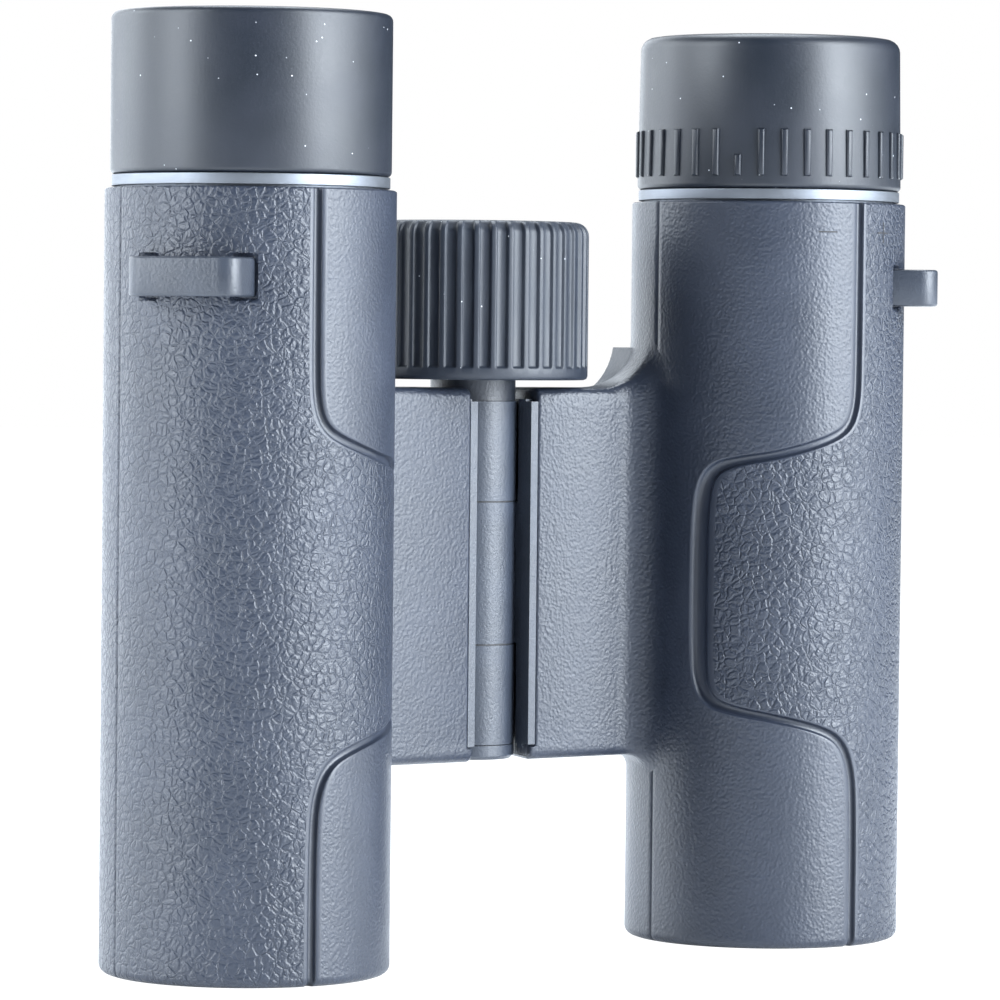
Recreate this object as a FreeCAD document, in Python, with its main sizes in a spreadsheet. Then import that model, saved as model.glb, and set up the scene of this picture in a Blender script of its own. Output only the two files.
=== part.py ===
import FreeCAD, Part
import Sketcher
import os

# Compact roof-prism binoculars, millimetres, +Z towards the eyepieces, -Y towards the underside.
# The origin is at the bottom centre of the whole object, which stands on its two objective ends.
# Each barrel has its own axis at (+-barrel_spacing, barrel_line); both fold about the hinge line.

doc = FreeCAD.newDocument("binoculars")
sheet = doc.addObject("Spreadsheet::Sheet", "Sizes")

SIZES = [
    # barrels
    ("armour_radius", 16.0, "outside of the rubber armour"),
    ("housing_radius", 14.4, "outside of the housing tube, inside of the armour"),
    ("bore_radius", 13.3, "inside of the housing tube"),
    ("barrel_spacing", 36.1, "barrel axis to the middle plane, barrels fully open"),
    ("armour_top", 85.95, "eyepiece end of armour and housing shoulder"),
    ("housing_front", 1.2, "objective end of the housing, behind the armour lip"),
    ("lip_radius", 13.5, "inside of the armour lip round the objective"),
    ("edge_bevel", 0.9, "bevel round the objective end of the armour"),
    ("top_bevel", 0.3, "bevel round the eyepiece end of the armour"),
    ("skin", 1.3, "armour thickness on the bridge"),
    ("shoulder", 1.5, "thickness of the housing's shoulder under its neck"),
    # hinge and bridge
    ("hinge_rise", 8.66, "hinge axis above the plane of the barrel axes"),
    ("knuckle_radius", 5.1, "outside of the hinge knuckles"),
    ("knuckle_gap", 0.3, "room round a knuckle in the other arm, and round the hinge cover"),
    ("cap_gap", 0.5, "room round the hinge end cap"),
    ("tube_radius", 3.75, "outside of the hinge tube"),
    ("tube_bore", 3.1, "inside of the hinge tube"),
    ("fit_gap", 0.05, "running fit, radial"),
    ("face_depth", 6.52, "underside face of the bridge below the hinge axis"),
    ("roof_height", 3.2, "top face of the bridge above the hinge axis"),
    ("slot_half", 3.75, "half width of the hinge slot"),
    ("lip_width", 0.95, "smooth housing lip beside the slot"),
    ("lip_step", 0.15, "step down from the armour to that lip"),
    ("lip_root", 0.5, "how far the lip is let into the arm"),
    ("arm_root", 8.0, "how far an arm runs into its barrel before the bore is cut"),
    ("bridge_low", 21.63, "objective-side edge of the bridge"),
    ("bridge_high", 64.25, "eyepiece-side edge of the bridge"),
    ("knuckle_low", 23.4, "start of the lowest knuckle"),
    ("joint_low", 34.86, "joint between the lowest and the middle knuckle"),
    ("joint_high", 51.23, "joint between the middle and the highest knuckle"),
    ("knuckle_high", 62.7, "end of the highest knuckle"),
    ("washer_half", 0.1, "half thickness of a friction washer"),
    ("blend", 6.0, "hollow corner between bridge and barrel, eyepiece side"),
    ("blend_bite", 0.14, "how far inside the barrel the hollow corner ends"),
    ("cover_radius", 6.6, "outside of the hinge cover"),
    ("cover_gap", 0.15, "room between the knuckles and the hinge cover"),
    ("pad_inset", 0.5, "the cover's pads end this far inside their knuckle"),
    ("plug_high", 25.0, "top of the hinge end cap's plug"),
    ("cap_bevel", 0.4, "bevel of the hinge end cap"),
    # focusing
    ("wheel_radius", 13.16, "outside of the focus wheel"),
    ("wheel_low", 65.2, "bottom of the focus wheel"),
    ("wheel_high", 83.23, "top of the focus wheel"),
    ("core_radius", 11.4, "wheel hub under the rubber grip"),
    ("hub_radius", 4.9, "neck of the wheel hub"),
    ("hub_step", 0.3, "hub body above the bottom of the grip"),
    ("face_wall", 1.6, "thickness of the hub's rim and of the grip's lip over it"),
    ("rim_drop", 1.2, "hub rim below the top of the grip"),
    ("face_drop", 2.0, "hub face below the top of the grip"),
    ("cap_drop", 0.4, "wheel cap below the top of the grip"),
    ("well_radius", 4.0, "screw well in the hub"),
    ("grip_round", 1.8, "rounding of the grip's top edge"),
    ("grip_bevel", 0.5, "bevel of the grip's bottom edge"),
    ("notch_width", 1.3, "width of a groove in the grip"),
    ("notch_depth", 0.35, "depth of a groove in the grip"),
    ("notch_low", 1.6, "plain band below the grooves"),
    ("spindle_radius", 1.5, "focus spindle"),
    ("spindle_low", 25.3, "bottom of the spindle"),
    ("spindle_high", 79.0, "top of the spindle"),
    ("collar_low", 56.0, "underside of the spindle's collar"),
    ("collar_high", 57.4, "top of the spindle's collar"),
    ("screw_radius", 3.4, "head of the wheel screw"),
    ("screw_height", 1.4, "height of that head"),
    ("carrier_gap", 0.15, "carrier and collar inside the hinge tube"),
    ("carrier_low", 27.0, "bottom of the carrier"),
    ("carrier_high", 47.0, "top of the carrier"),
    ("carrier_groove", 0.7, "metal left round the spindle in the carrier's grooves"),
    ("bar_half", 0.9, "half width of a focusing arm"),
    ("bar_height", 2.0, "height of a focusing arm"),
    ("left_bar", 30.0, "bottom of the left focusing arm, mid travel"),
    ("right_bar", 42.0, "bottom of the right focusing arm, mid travel"),
    ("bar_start", 2.25, "inner end of a focusing arm"),
    ("bar_end", 3.0, "a focusing arm is cut off by its cell this side of the barrel axis"),
    ("travel", 1.25, "focusing travel to each side"),
    ("arm_play", 0.3, "room round a focusing arm past its travel"),
    ("channel_end", 8.0, "end of a focusing arm's channel from the barrel axis"),
    ("cell_radius", 10.8, "outside of the focusing lens cell"),
    ("cell_wall", 1.2, "wall of that cell"),
    ("cell_low", 28.5, "objective end of that cell"),
    ("cell_high", 45.5, "eyepiece end of that cell"),
    ("focus_low", 36.5, "objective-side rim of the focusing lens"),
    ("focus_edge", 2.3, "thickness of the focusing lens at its rim"),
    ("focus_front_mid", 0.65, "dish of its front at half radius"),
    ("focus_front", 0.9, "dish of its front in the middle"),
    ("focus_back_mid", 1.95, "height of its back at half radius"),
    ("focus_back", 1.8, "height of its back in the middle"),
    ("focus_step", 1.0, "depth of the ledge that holds it"),
    ("focus_ledge", 0.5, "thickness of that ledge"),
    # objective
    ("glass_radius", 12.6, "objective elements"),
    ("glass_front", 3.2, "front of the objective"),
    ("front_mid", 0.35, "front face behind its middle, at half radius"),
    ("front_rim", 1.4, "front face behind its middle, at the rim"),
    ("joint_rim", 3.2, "cemented joint at the rim"),
    ("joint_mid", 4.6, "cemented joint at half radius"),
    ("joint_middle", 5.0, "cemented joint in the middle"),
    ("glass_back", 6.6, "back of the objective"),
    ("cell_back", 9.5, "back of the objective's cell"),
    ("cell_ledge", 1.0, "ledge of the cell behind the glass"),
    ("seal_start", 7.4, "start of the seal's groove"),
    ("seal_width", 0.9, "width of the seal's groove"),
    ("seal_depth", 0.8, "depth of the seal's groove"),
    ("seal_radius", 0.39, "section radius of the seal"),
    ("retainer_lap", 0.5, "how far the retainer laps the glass"),
    ("retainer_front", 0.6, "retainer ahead of the glass"),
    ("retainer_back", 1.3, "back of the retainer behind the glass's front"),
    # prisms
    ("prism_low", 53.0, "entrance face of the half-penta prism"),
    ("prism_half", 6.2, "half width of the prisms' faces"),
    ("prism_depth", 12.0, "prisms front to back"),
    ("prism_air", 0.15, "air gap between the two prisms"),
    ("penta_far", 9.2, "far side of the half-penta prism"),
    ("penta_near", 1.9, "height of its near corner"),
    ("penta_side", 7.3, "height of its far lower corner"),
    ("penta_high", 17.3, "height of its far upper corner"),
    ("wedge_far", 8.6, "far corner of the roof prism"),
    ("wedge_near", 7.6, "near corner of the roof prism"),
    ("wedge_tip", 2.9, "tip of the roof prism across"),
    ("wedge_tip_high", 5.5, "tip of the roof prism upwards"),
    ("wedge_high", 17.0, "exit face of the roof prism"),
    ("ridge_across", 6.7, "a point of the roof's ridge, across"),
    ("ridge_high", 11.3, "the same point upwards"),
    ("cage_half", 9.4, "half width of the room in the prism cage"),
    ("cage_foot", 2.5, "cage below the prisms"),
    ("cage_high", 19.5, "top of the cage above the entrance face"),
    # eyepiece
    ("neck_radius", 12.3, "housing neck under the eyecup ring"),
    ("neck_bore", 11.1, "bore of the neck, guides the eyepiece tube"),
    ("neck_top", 92.0, "top of the neck"),
    ("trim_radius", 15.27, "bright trim ring"),
    ("trim_top", 87.45, "top of the trim ring, bottom of the eyecup"),
    ("ring_radius", 13.5, "hard ring inside the eyecup"),
    ("cup_top", 105.2, "top of the eyecups"),
    ("cup_radius", 15.41, "outside of the eyecups"),
    ("cup_wall", 1.7, "rubber wall at the top of the eyecups"),
    ("eye_tube_radius", 11.05, "eyepiece tube"),
    ("eye_tube_low", 76.0, "bottom of the eyepiece tube"),
    ("eye_tube_high", 94.6, "top of the eyepiece tube"),
    ("eye_radius", 9.7, "eyepiece elements"),
    ("eye_ledge", 1.2, "ledges inside the eyepiece tube"),
    ("stop_low", 77.2, "underside of the field stop"),
    ("stop_thick", 0.8, "thickness of the field stop"),
    ("stop_radius", 5.4, "opening of the field stop"),
    ("field_low", 79.0, "underside of the field lens in its middle"),
    ("field_high", 84.4, "top of the field lens in its middle"),
    ("field_mid", 0.6, "that face at mid radius from its middle, below"),
    ("field_mid_high", 0.4, "the same above"),
    ("field_rim", 2.0, "its rim from its underside"),
    ("field_edge", 2.0, "thickness of its rim"),
    ("eye_low", 88.8, "underside of the eye lens"),
    ("eye_dish", 0.1, "dish of its underside"),
    ("eye_edge", 2.8, "thickness of its rim"),
    ("eye_crown_mid", 4.2, "height of the eye lens at mid radius"),
    ("eye_crown", 4.7, "height of the eye lens in its middle"),
    ("retainer_width", 1.0, "eye lens retainer, radial"),
    ("retainer_low", 92.6, "bottom of the eye lens retainer"),
    ("retainer_high", 94.2, "top of the eye lens retainer"),
    ("ring_over", 0.2, "room between the neck and the lid of the hard ring"),
    ("ring_lid", 1.2, "thickness of that lid"),
    ("ring_fit", 0.1, "room between that lid and the eyepiece tube"),
    ("flange", 1.4, "thickness of the rubber flange over the lid"),
    ("flange_gap", 0.9, "room between the flange and the eyepiece tube"),
    ("cup_bevel", 0.6, "bevel at the bottom of an eyecup"),
    ("cup_round", 0.5, "rounding of an eyecup's mouth"),
    ("rib_width", 0.9, "width of a dioptre rib"),
    ("rib_height", 0.35, "how far a dioptre rib stands out"),
    ("rib_low", 1.4, "bottom of the ribs above the trim ring"),
    ("rib_length", 5.4, "length of the ribs"),
    # strap lugs
    ("lug_tip", 19.7, "outer face of a lug from the barrel axis"),
    ("lug_bar", 1.6, "thickness of the lug's bar"),
    ("lug_half", 7.0, "half length of the lug's bar"),
    ("lug_foot", 1.8, "length of a foot of the lug"),
    ("lug_round", 1.5, "rounding of the bar's outer corners"),
    ("lug_root", 2.0, "how far a foot is let into the housing before it is trimmed"),
    ("lug_low", 74.1, "bottom of a lug"),
    ("lug_high", 78.35, "top of a lug"),
]
WHEEL_RIBS = 42
CUP_RIBS = 36
HALF = 0.5  # the height of a lens face is given at this share of its radius
OUTER = 0.6  # and that of an eyepiece lens at this share
SPARE = 1.0  # how far a cutting tool stands past what it cuts
TINY = 1e-6  # two places closer than this are the same
# Angles are degrees about an upright axis, anticlockwise from +X.
COVER_ROOM = (15, 150)  # start and sweep of the room for the hinge cover
COVER = (32, 116)  # start and sweep of the cover
COVER_PAD = (60, 60)  # start and sweep of its pads
LEFT_WINDOW = (160, 40)  # start and sweep of the hinge tube's window for the left focusing arm
RIGHT_WINDOW = (-76, 96)  # the same for the right arm, which folds round the tube
ROOF_LEAN = 22.5  # the roof prism's ridge leans this far from upright
ROOF_TURN = 45  # each face of the roof is turned this far from the ridge's plane
ROOF_CHOP = (8, 20, 40)  # the block that cuts one face of the roof


class Length:
    """A size that knows both its number and its formula on the sheet."""

    def __init__(self, number, formula=None):
        self.number = float(number)
        self.formula = formula or repr(float(number))

    def _with(self, other, sign, number):
        other = as_length(other)
        return Length(number(self.number, other.number), f"({self.formula} {sign} {other.formula})")

    def __add__(self, other):
        return self._with(other, "+", lambda a, b: a + b)

    def __sub__(self, other):
        return self._with(other, "-", lambda a, b: a - b)

    def __mul__(self, other):
        return self._with(other, "*", lambda a, b: a * b)

    def __truediv__(self, other):
        return self._with(other, "/", lambda a, b: a / b)

    def __rsub__(self, other):
        return as_length(other) - self

    __radd__ = __add__
    __rmul__ = __mul__

    def __neg__(self):
        return self * -1


def as_length(value):
    return value if isinstance(value, Length) else Length(value)


for row, (alias, value, meaning) in enumerate(SIZES, start=1):
    sheet.set(f"A{row}", alias)
    sheet.set(f"B{row}", repr(value))
    sheet.set(f"C{row}", meaning)
    sheet.setAlias(f"B{row}", alias)
doc.recompute()
s = {alias: Length(value, f"Sizes.{alias}") for alias, value, _ in SIZES}

# A lug points this many degrees from straight outwards towards the underside.
LUG_TURN = 37.5
lug_outwards = FreeCAD.Rotation(FreeCAD.Vector(0, 0, 1), LUG_TURN).multVec(FreeCAD.Vector(1, 0, 0))
LUG_COS = lug_outwards.x
LUG_SIN = lug_outwards.y

# The lugs reach furthest to the underside and the wheel to the top, so the middle is between them.
lug_reach = ((s["lug_tip"] - s["lug_round"]) * LUG_SIN + (s["lug_half"] - s["lug_round"]) * LUG_COS
             + s["lug_round"])
barrel_line = (lug_reach - s["wheel_radius"] - s["hinge_rise"]) / 2
hinge_line = barrel_line + s["hinge_rise"]
bridge_face = hinge_line - s["face_depth"]
bridge_roof = hinge_line + s["roof_height"]
armour_slot = s["slot_half"] + s["lip_width"]

subparts = []


def keep(thing, label):
    thing.Label = label
    subparts.append(thing)
    return thing


def bind(thing, prop, value):
    value = as_length(value)
    thing.setExpression(prop, value.formula)


def place(thing, x=0, y=0, z=0):
    for letter, value in zip("xyz", (x, y, z)):
        bind(thing, f"Placement.Base.{letter}", value)
    return thing


def draw_outline(sketch, corners):
    """Close straight lines through the corners, each corner held by two bound distances."""
    count = len(corners)
    for index, (across, up) in enumerate(corners):
        after, above = corners[(index + 1) % count]
        start = FreeCAD.Vector(across.number, up.number, 0)
        end = FreeCAD.Vector(after.number, above.number, 0)
        sketch.addGeometry(Part.LineSegment(start, end), False)
    for index in range(count):
        sketch.addConstraint(Sketcher.Constraint("Coincident", index, 2, (index + 1) % count, 1))
    for index, corner in enumerate(corners):
        for kind, axis, value in (("DistanceX", -2, corner[0]), ("DistanceY", -1, corner[1])):
            if abs(value.number) < TINY:
                sketch.addConstraint(Sketcher.Constraint("PointOnObject", index, 1, axis))
                continue
            name = f"{kind[-1].lower()}{index}"
            held = sketch.addConstraint(Sketcher.Constraint(kind, -1, 1, index, 1, value.number))
            sketch.renameConstraint(held, name)
            bind(sketch, f"Constraints.{name}", value)


def body_sketch(body, plane, name):
    sketch = body.newObject("Sketcher::SketchObject", name)
    origin_plane = [f for f in body.Origin.OriginFeatures if f.Role == plane][0]
    sketch.AttachmentSupport = [(origin_plane, "")]
    sketch.MapMode = "FlatFace"
    return sketch


def turned(name, outline, x=0, y=0):
    """A body of revolution about its own Z axis: the outline is (radius, height) corners."""
    body = doc.addObject("PartDesign::Body", name)
    sketch = body_sketch(body, "XZ_Plane", f"{name}_outline")
    draw_outline(sketch, [(as_length(r), as_length(z)) for r, z in outline])
    turn = body.newObject("PartDesign::Revolution", f"{name}_turn")
    turn.Profile = sketch
    turn.ReferenceAxis = (sketch, ["V_Axis"])
    turn.Angle = 360
    body.Tip = turn
    return place(body, x, y)


def ring(name, inner, outer, low, high, x=0, y=0):
    return turned(name, [(inner, low), (outer, low), (outer, high), (inner, high)], x, y)


def cylinder(name, radius, low, high, x=0, y=0):
    thing = doc.addObject("Part::Cylinder", name)
    bind(thing, "Radius", radius)
    bind(thing, "Height", as_length(high) - low)
    return place(thing, x, y, low)


def sector(name, radius, low, high, start, sweep, x=0, y=0):
    """A slice of a cylinder that starts at one angle, in degrees, and sweeps anticlockwise."""
    thing = cylinder(name, radius, low, high, x, y)
    thing.Angle = sweep
    thing.Placement.Rotation = FreeCAD.Rotation(FreeCAD.Vector(0, 0, 1), start)
    return thing


def box(name, side, near, far, front, back, low, high):
    """A box from near to far outwards on one side, front to back in Y and low to high in Z."""
    thing = doc.addObject("Part::Box", name)
    bind(thing, "Length", as_length(far) - near)
    bind(thing, "Width", as_length(back) - front)
    bind(thing, "Height", as_length(high) - low)
    return place(thing, near if side > 0 else -as_length(far), front, low)


def fused(name, *things):
    whole = doc.addObject("Part::MultiFuse", name)
    whole.Shapes = list(things)
    return whole


def cut(name, base, *tools):
    left = doc.addObject("Part::Cut", name)
    left.Base = base
    left.Tool = tools[0] if len(tools) == 1 else fused(f"{name}_tools", *tools)
    return left


def plate(name, corners, plane, depth, place_at):
    """A flat outline given thickness; arcs are left to the solids it is cut with."""
    body = doc.addObject("PartDesign::Body", name)
    sketch = body_sketch(body, plane, f"{name}_outline")
    draw_outline(sketch, [(as_length(a), as_length(b)) for a, b in corners])
    pad = body.newObject("PartDesign::Pad", f"{name}_pad")
    pad.Profile = sketch
    bind(pad, "Length", depth)
    body.Tip = pad
    return place(body, *place_at)


def polar(body, feature, count):
    """Repeat one feature of a body evenly round the body's own Z axis."""
    pattern = body.newObject("PartDesign::PolarPattern", f"{feature.Name}_round")
    pattern.Originals = [feature]
    z_axis = [f for f in body.Origin.OriginFeatures if f.Role == "Z_Axis"][0]
    pattern.Axis = (z_axis, [""])
    pattern.Angle = 360
    pattern.Occurrences = count
    body.Tip = pattern
    return pattern


def cross_sketch(body, name, width, near, far, low):
    """A small rectangle on a level plane, reaching from near to far along X."""
    sketch = body_sketch(body, "XY_Plane", name)
    half = as_length(width) / 2
    draw_outline(sketch, [(as_length(near), -half), (as_length(far), -half),
                          (as_length(far), half), (as_length(near), half)])
    bind(sketch, "AttachmentOffset.Base.z", low)
    return sketch


def bridge_block(name, side, near, inset, low, high):
    """The arm between the slot and the barrel, pulled in by inset all round."""
    front = bridge_face + inset
    back = bridge_roof - inset
    inner_end = s["barrel_spacing"] - s["bore_radius"]
    root = inner_end + s["arm_root"]
    block = box(f"{name}_block", side, near, root, front, back, low, high)
    shoulder_start = s["barrel_spacing"] - s["armour_radius"] - s["blend"] + s["blend_bite"]
    shoulder = box(f"{name}_shoulder", side, shoulder_start, root, front, back,
                   high, high + s["blend"])
    hollow = doc.addObject("Part::Cylinder", f"{name}_hollow")
    bind(hollow, "Radius", s["blend"] + inset)
    bind(hollow, "Height", back - front + 2 * SPARE)
    hollow.Placement.Rotation = FreeCAD.Rotation(FreeCAD.Vector(1, 0, 0), -90)
    place(hollow, shoulder_start * side, front - SPARE, high + s["blend"] + inset)
    return fused(name, block, cut(f"{name}_blend", shoulder, hollow))


def lug_solid(name, side, reach):
    """A straight staple across the lug's direction; reach is how far in its feet go."""
    bar = doc.addObject("Part::Box", f"{name}_bar")
    window = doc.addObject("Part::Box", f"{name}_window")
    turn = FreeCAD.Rotation(FreeCAD.Vector(0, 0, 1), LUG_TURN if side < 0 else -LUG_TURN)
    for thing, near, far, half in (
        (bar, reach, s["lug_tip"], s["lug_half"]),
        (window, reach - SPARE, s["lug_tip"] - s["lug_bar"], s["lug_half"] - s["lug_foot"]),
    ):
        bind(thing, "Length", as_length(far) - near)
        bind(thing, "Width", half * 2)
        thing.Placement.Rotation = turn
        # The corner nearest the barrel axis is worked out along and across the lug's direction.
        along = as_length(near) if side > 0 else -as_length(far)
        corner_x = along * LUG_COS - half * (LUG_SIN * side)
        corner_y = along * (-LUG_SIN * side) - half * LUG_COS
        place(thing, s["barrel_spacing"] * side + corner_x, barrel_line + corner_y,
              s["lug_low"] if thing is bar else s["lug_low"] - SPARE)
    bind(bar, "Height", s["lug_high"] - s["lug_low"])
    bind(window, "Height", s["lug_high"] - s["lug_low"] + 2 * SPARE)
    doc.recompute()
    outer_face = s["lug_tip"].number - reach.number if side > 0 else 0.0
    corners = []
    for number, edge in enumerate(bar.Shape.Edges, start=1):
        middle = bar.Placement.inverse().multVec(edge.CenterOfMass)
        upright = abs(edge.Vertexes[0].Z - edge.Vertexes[-1].Z) > SPARE
        if upright and abs(middle.x - outer_face) < TINY:
            corners.append((number, s["lug_round"].number, s["lug_round"].number))
    rounded = doc.addObject("Part::Fillet", f"{name}_rounded")
    rounded.Base = bar
    rounded.Edges = corners
    return rounded, cut(name, rounded, window)


def knuckles(side):
    """The height ranges of one side's knuckles: two on the left, the middle one on the right."""
    half = s["washer_half"]
    middle = [(s["joint_low"] + half, s["joint_high"] - half)]
    outer = [(s["knuckle_low"], s["joint_low"] - half), (s["joint_high"] + half, s["knuckle_high"])]
    return (middle, outer) if side > 0 else (outer, middle)


def hinge_room(name, side):
    """What both the arm and its armour leave free: the other knuckles, end caps and the cover."""
    own, other = knuckles(side)
    clear = s["knuckle_radius"] + s["knuckle_gap"]
    washer = s["washer_half"] * 2
    room = [cylinder(f"{name}_room{n}", clear, low - washer, high + washer, 0, hinge_line)
            for n, (low, high) in enumerate(other)]
    below = s["bridge_low"] - SPARE
    above = s["bridge_high"] + SPARE
    room.append(cylinder(f"{name}_cap_room", s["knuckle_radius"] + s["cap_gap"], below,
                         s["knuckle_low"], 0, hinge_line))
    room.append(cylinder(f"{name}_neck_room", clear, s["knuckle_high"], above, 0, hinge_line))
    room.append(sector(f"{name}_cover_room", s["cover_radius"] + s["knuckle_gap"], below, above,
                       *COVER_ROOM, 0, hinge_line))
    return room


def housing(word, side):
    axis = s["barrel_spacing"] * side
    name = f"{word}_housing"
    shoulder_under = s["armour_top"] - s["shoulder"]
    tube = turned(f"{name}_tube", [
        (s["bore_radius"], s["housing_front"]), (s["housing_radius"], s["housing_front"]),
        (s["housing_radius"], s["armour_top"]), (s["neck_radius"], s["armour_top"]),
        (s["neck_radius"], s["neck_top"]), (s["neck_bore"], s["neck_top"]),
        (s["neck_bore"], shoulder_under), (s["bore_radius"], shoulder_under),
    ], axis, barrel_line)
    inset = s["skin"]
    arm = bridge_block(f"{name}_arm", side, s["slot_half"], inset,
                       s["bridge_low"] + inset, s["bridge_high"] - inset)
    lip = box(f"{name}_lip", side, s["slot_half"], armour_slot, bridge_face + s["lip_step"],
              bridge_face + inset + s["lip_root"], s["knuckle_low"], s["knuckle_high"])
    inside = cylinder(f"{name}_inside", s["bore_radius"], s["housing_front"], shoulder_under,
                      axis, barrel_line)
    solid_arm = cut(f"{name}_solid_arm", fused(f"{name}_arm_lip", arm, lip),
                    inside, *hinge_room(name, side))
    own, other = knuckles(side)
    pins = [cylinder(f"{name}_knuckle{n}", s["knuckle_radius"], low, high, 0, hinge_line)
            for n, (low, high) in enumerate(own)]
    bore = cylinder(f"{name}_pin_bore", s["tube_radius"] + s["fit_gap"], 0, s["armour_top"],
                    0, hinge_line)
    bar_low = s["left_bar"] if side < 0 else s["right_bar"]
    play = s["travel"] + s["arm_play"]
    channel_half = s["bar_half"] + s["arm_play"]
    channel = box(f"{name}_channel", side, s["spindle_radius"], s["barrel_spacing"] - s["channel_end"],
                  hinge_line - channel_half, hinge_line + channel_half,
                  bar_low - play, bar_low + s["bar_height"] + play)
    whole = fused(f"{name}_whole", tube, solid_arm, *pins)
    return keep(cut(name, whole, bore, channel), name)


def armour(word, side, lug_block):
    axis = s["barrel_spacing"] * side
    name = f"{word}_armour"
    skin_tube = turned(f"{name}_tube", [
        (s["lip_radius"], 0), (s["armour_radius"] - s["edge_bevel"], 0),
        (s["armour_radius"], s["edge_bevel"]),
        (s["armour_radius"], s["armour_top"] - s["top_bevel"]),
        (s["armour_radius"] - s["top_bevel"], s["armour_top"]), (s["lip_radius"], s["armour_top"]),
    ], axis, barrel_line)
    inset = s["skin"]
    outer = bridge_block(f"{name}_arm", side, armour_slot, Length(0), s["bridge_low"],
                         s["bridge_high"])
    inner = bridge_block(f"{name}_core", side, s["slot_half"] - SPARE, inset,
                         s["bridge_low"] + inset, s["bridge_high"] - inset)
    core = cylinder(f"{name}_bore", s["housing_radius"], s["housing_front"],
                    s["armour_top"] + SPARE, axis, barrel_line)
    whole = fused(f"{name}_whole", skin_tube, outer)
    return keep(cut(name, whole, inner, core, lug_block, *hinge_room(name, side)), name)


def strap_lug(word, side):
    axis = s["barrel_spacing"] * side
    name = f"{word}_strap_lug"
    block, staple = lug_solid(f"{name}_staple", side, s["housing_radius"] - s["lug_root"])
    flush = cylinder(f"{name}_flush", s["housing_radius"], s["lug_low"] - SPARE,
                     s["lug_high"] + SPARE, axis, barrel_line)
    keep(cut(name, staple, flush), name)
    return block


def objective(word, side):
    at = (s["barrel_spacing"] * side, barrel_line)
    front = s["glass_front"]
    glass = s["glass_radius"]
    rim = front + s["front_rim"]
    back = front + s["glass_back"]
    joint = [(glass, front + s["joint_rim"]), (glass * HALF, front + s["joint_mid"]),
             (0, front + s["joint_middle"])]
    outer = s["bore_radius"] - s["fit_gap"]
    seal_low = front + s["seal_start"]
    seal_high = seal_low + s["seal_width"]
    seal_inside = outer - s["seal_depth"]
    cell_back = front + s["cell_back"]
    ledge = glass - s["cell_ledge"]
    keep(turned(f"{word}_objective_front", [
        (0, front), (glass * HALF, front + s["front_mid"]), (glass, rim), *joint], *at),
        f"{word}_objective_front")
    keep(turned(f"{word}_objective_rear", [*joint[::-1], (glass, back), (0, back)], *at),
         f"{word}_objective_rear")
    keep(turned(f"{word}_objective_cell", [
        (glass, rim), (outer, rim), (outer, seal_low), (seal_inside, seal_low),
        (seal_inside, seal_high), (outer, seal_high), (outer, cell_back), (ledge, cell_back),
        (ledge, back), (glass, back)], *at), f"{word}_objective_cell")
    keep(ring(f"{word}_objective_retainer", glass - s["retainer_lap"], outer,
              front - s["retainer_front"], front + s["retainer_back"], *at),
         f"{word}_objective_retainer")
    seal = doc.addObject("Part::Torus", f"{word}_objective_seal")
    bind(seal, "Radius1", outer - s["seal_radius"])
    bind(seal, "Radius2", s["seal_radius"])
    place(seal, at[0], at[1], seal_low + s["seal_width"] / 2)
    keep(seal, f"{word}_objective_seal")


def focusing(word, side):
    at = (s["barrel_spacing"] * side, barrel_line)
    cell = s["cell_radius"]
    glass = cell - s["cell_wall"]
    low = s["focus_low"]
    ledge = glass - s["focus_step"]
    ledge_low = low + s["focus_edge"]
    ledge_high = ledge_low + s["focus_ledge"]
    keep(turned(f"{word}_focus_cell", [
        (glass, s["cell_low"]), (cell, s["cell_low"]), (cell, s["cell_high"]),
        (glass, s["cell_high"]), (glass, ledge_high), (ledge, ledge_high), (ledge, ledge_low),
        (glass, ledge_low)], *at), f"{word}_focus_cell")
    keep(turned(f"{word}_focus_lens", [
        (0, low + s["focus_front"]), (glass * HALF, low + s["focus_front_mid"]), (glass, low),
        (glass, ledge_low), (glass * HALF, low + s["focus_back_mid"]), (0, low + s["focus_back"]),
    ], *at), f"{word}_focus_lens")
    bar_low = s["left_bar"] if side < 0 else s["right_bar"]
    bar_high = bar_low + s["bar_height"]
    bar = box(f"{word}_focus_bar", side, s["bar_start"], s["barrel_spacing"] - s["bar_end"],
              hinge_line - s["bar_half"], hinge_line + s["bar_half"], bar_low, bar_high)
    seat = cylinder(f"{word}_focus_seat", cell, bar_low - SPARE, bar_high + SPARE, *at)
    keep(cut(f"{word}_focus_arm", bar, seat), f"{word}_focus_arm")


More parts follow.
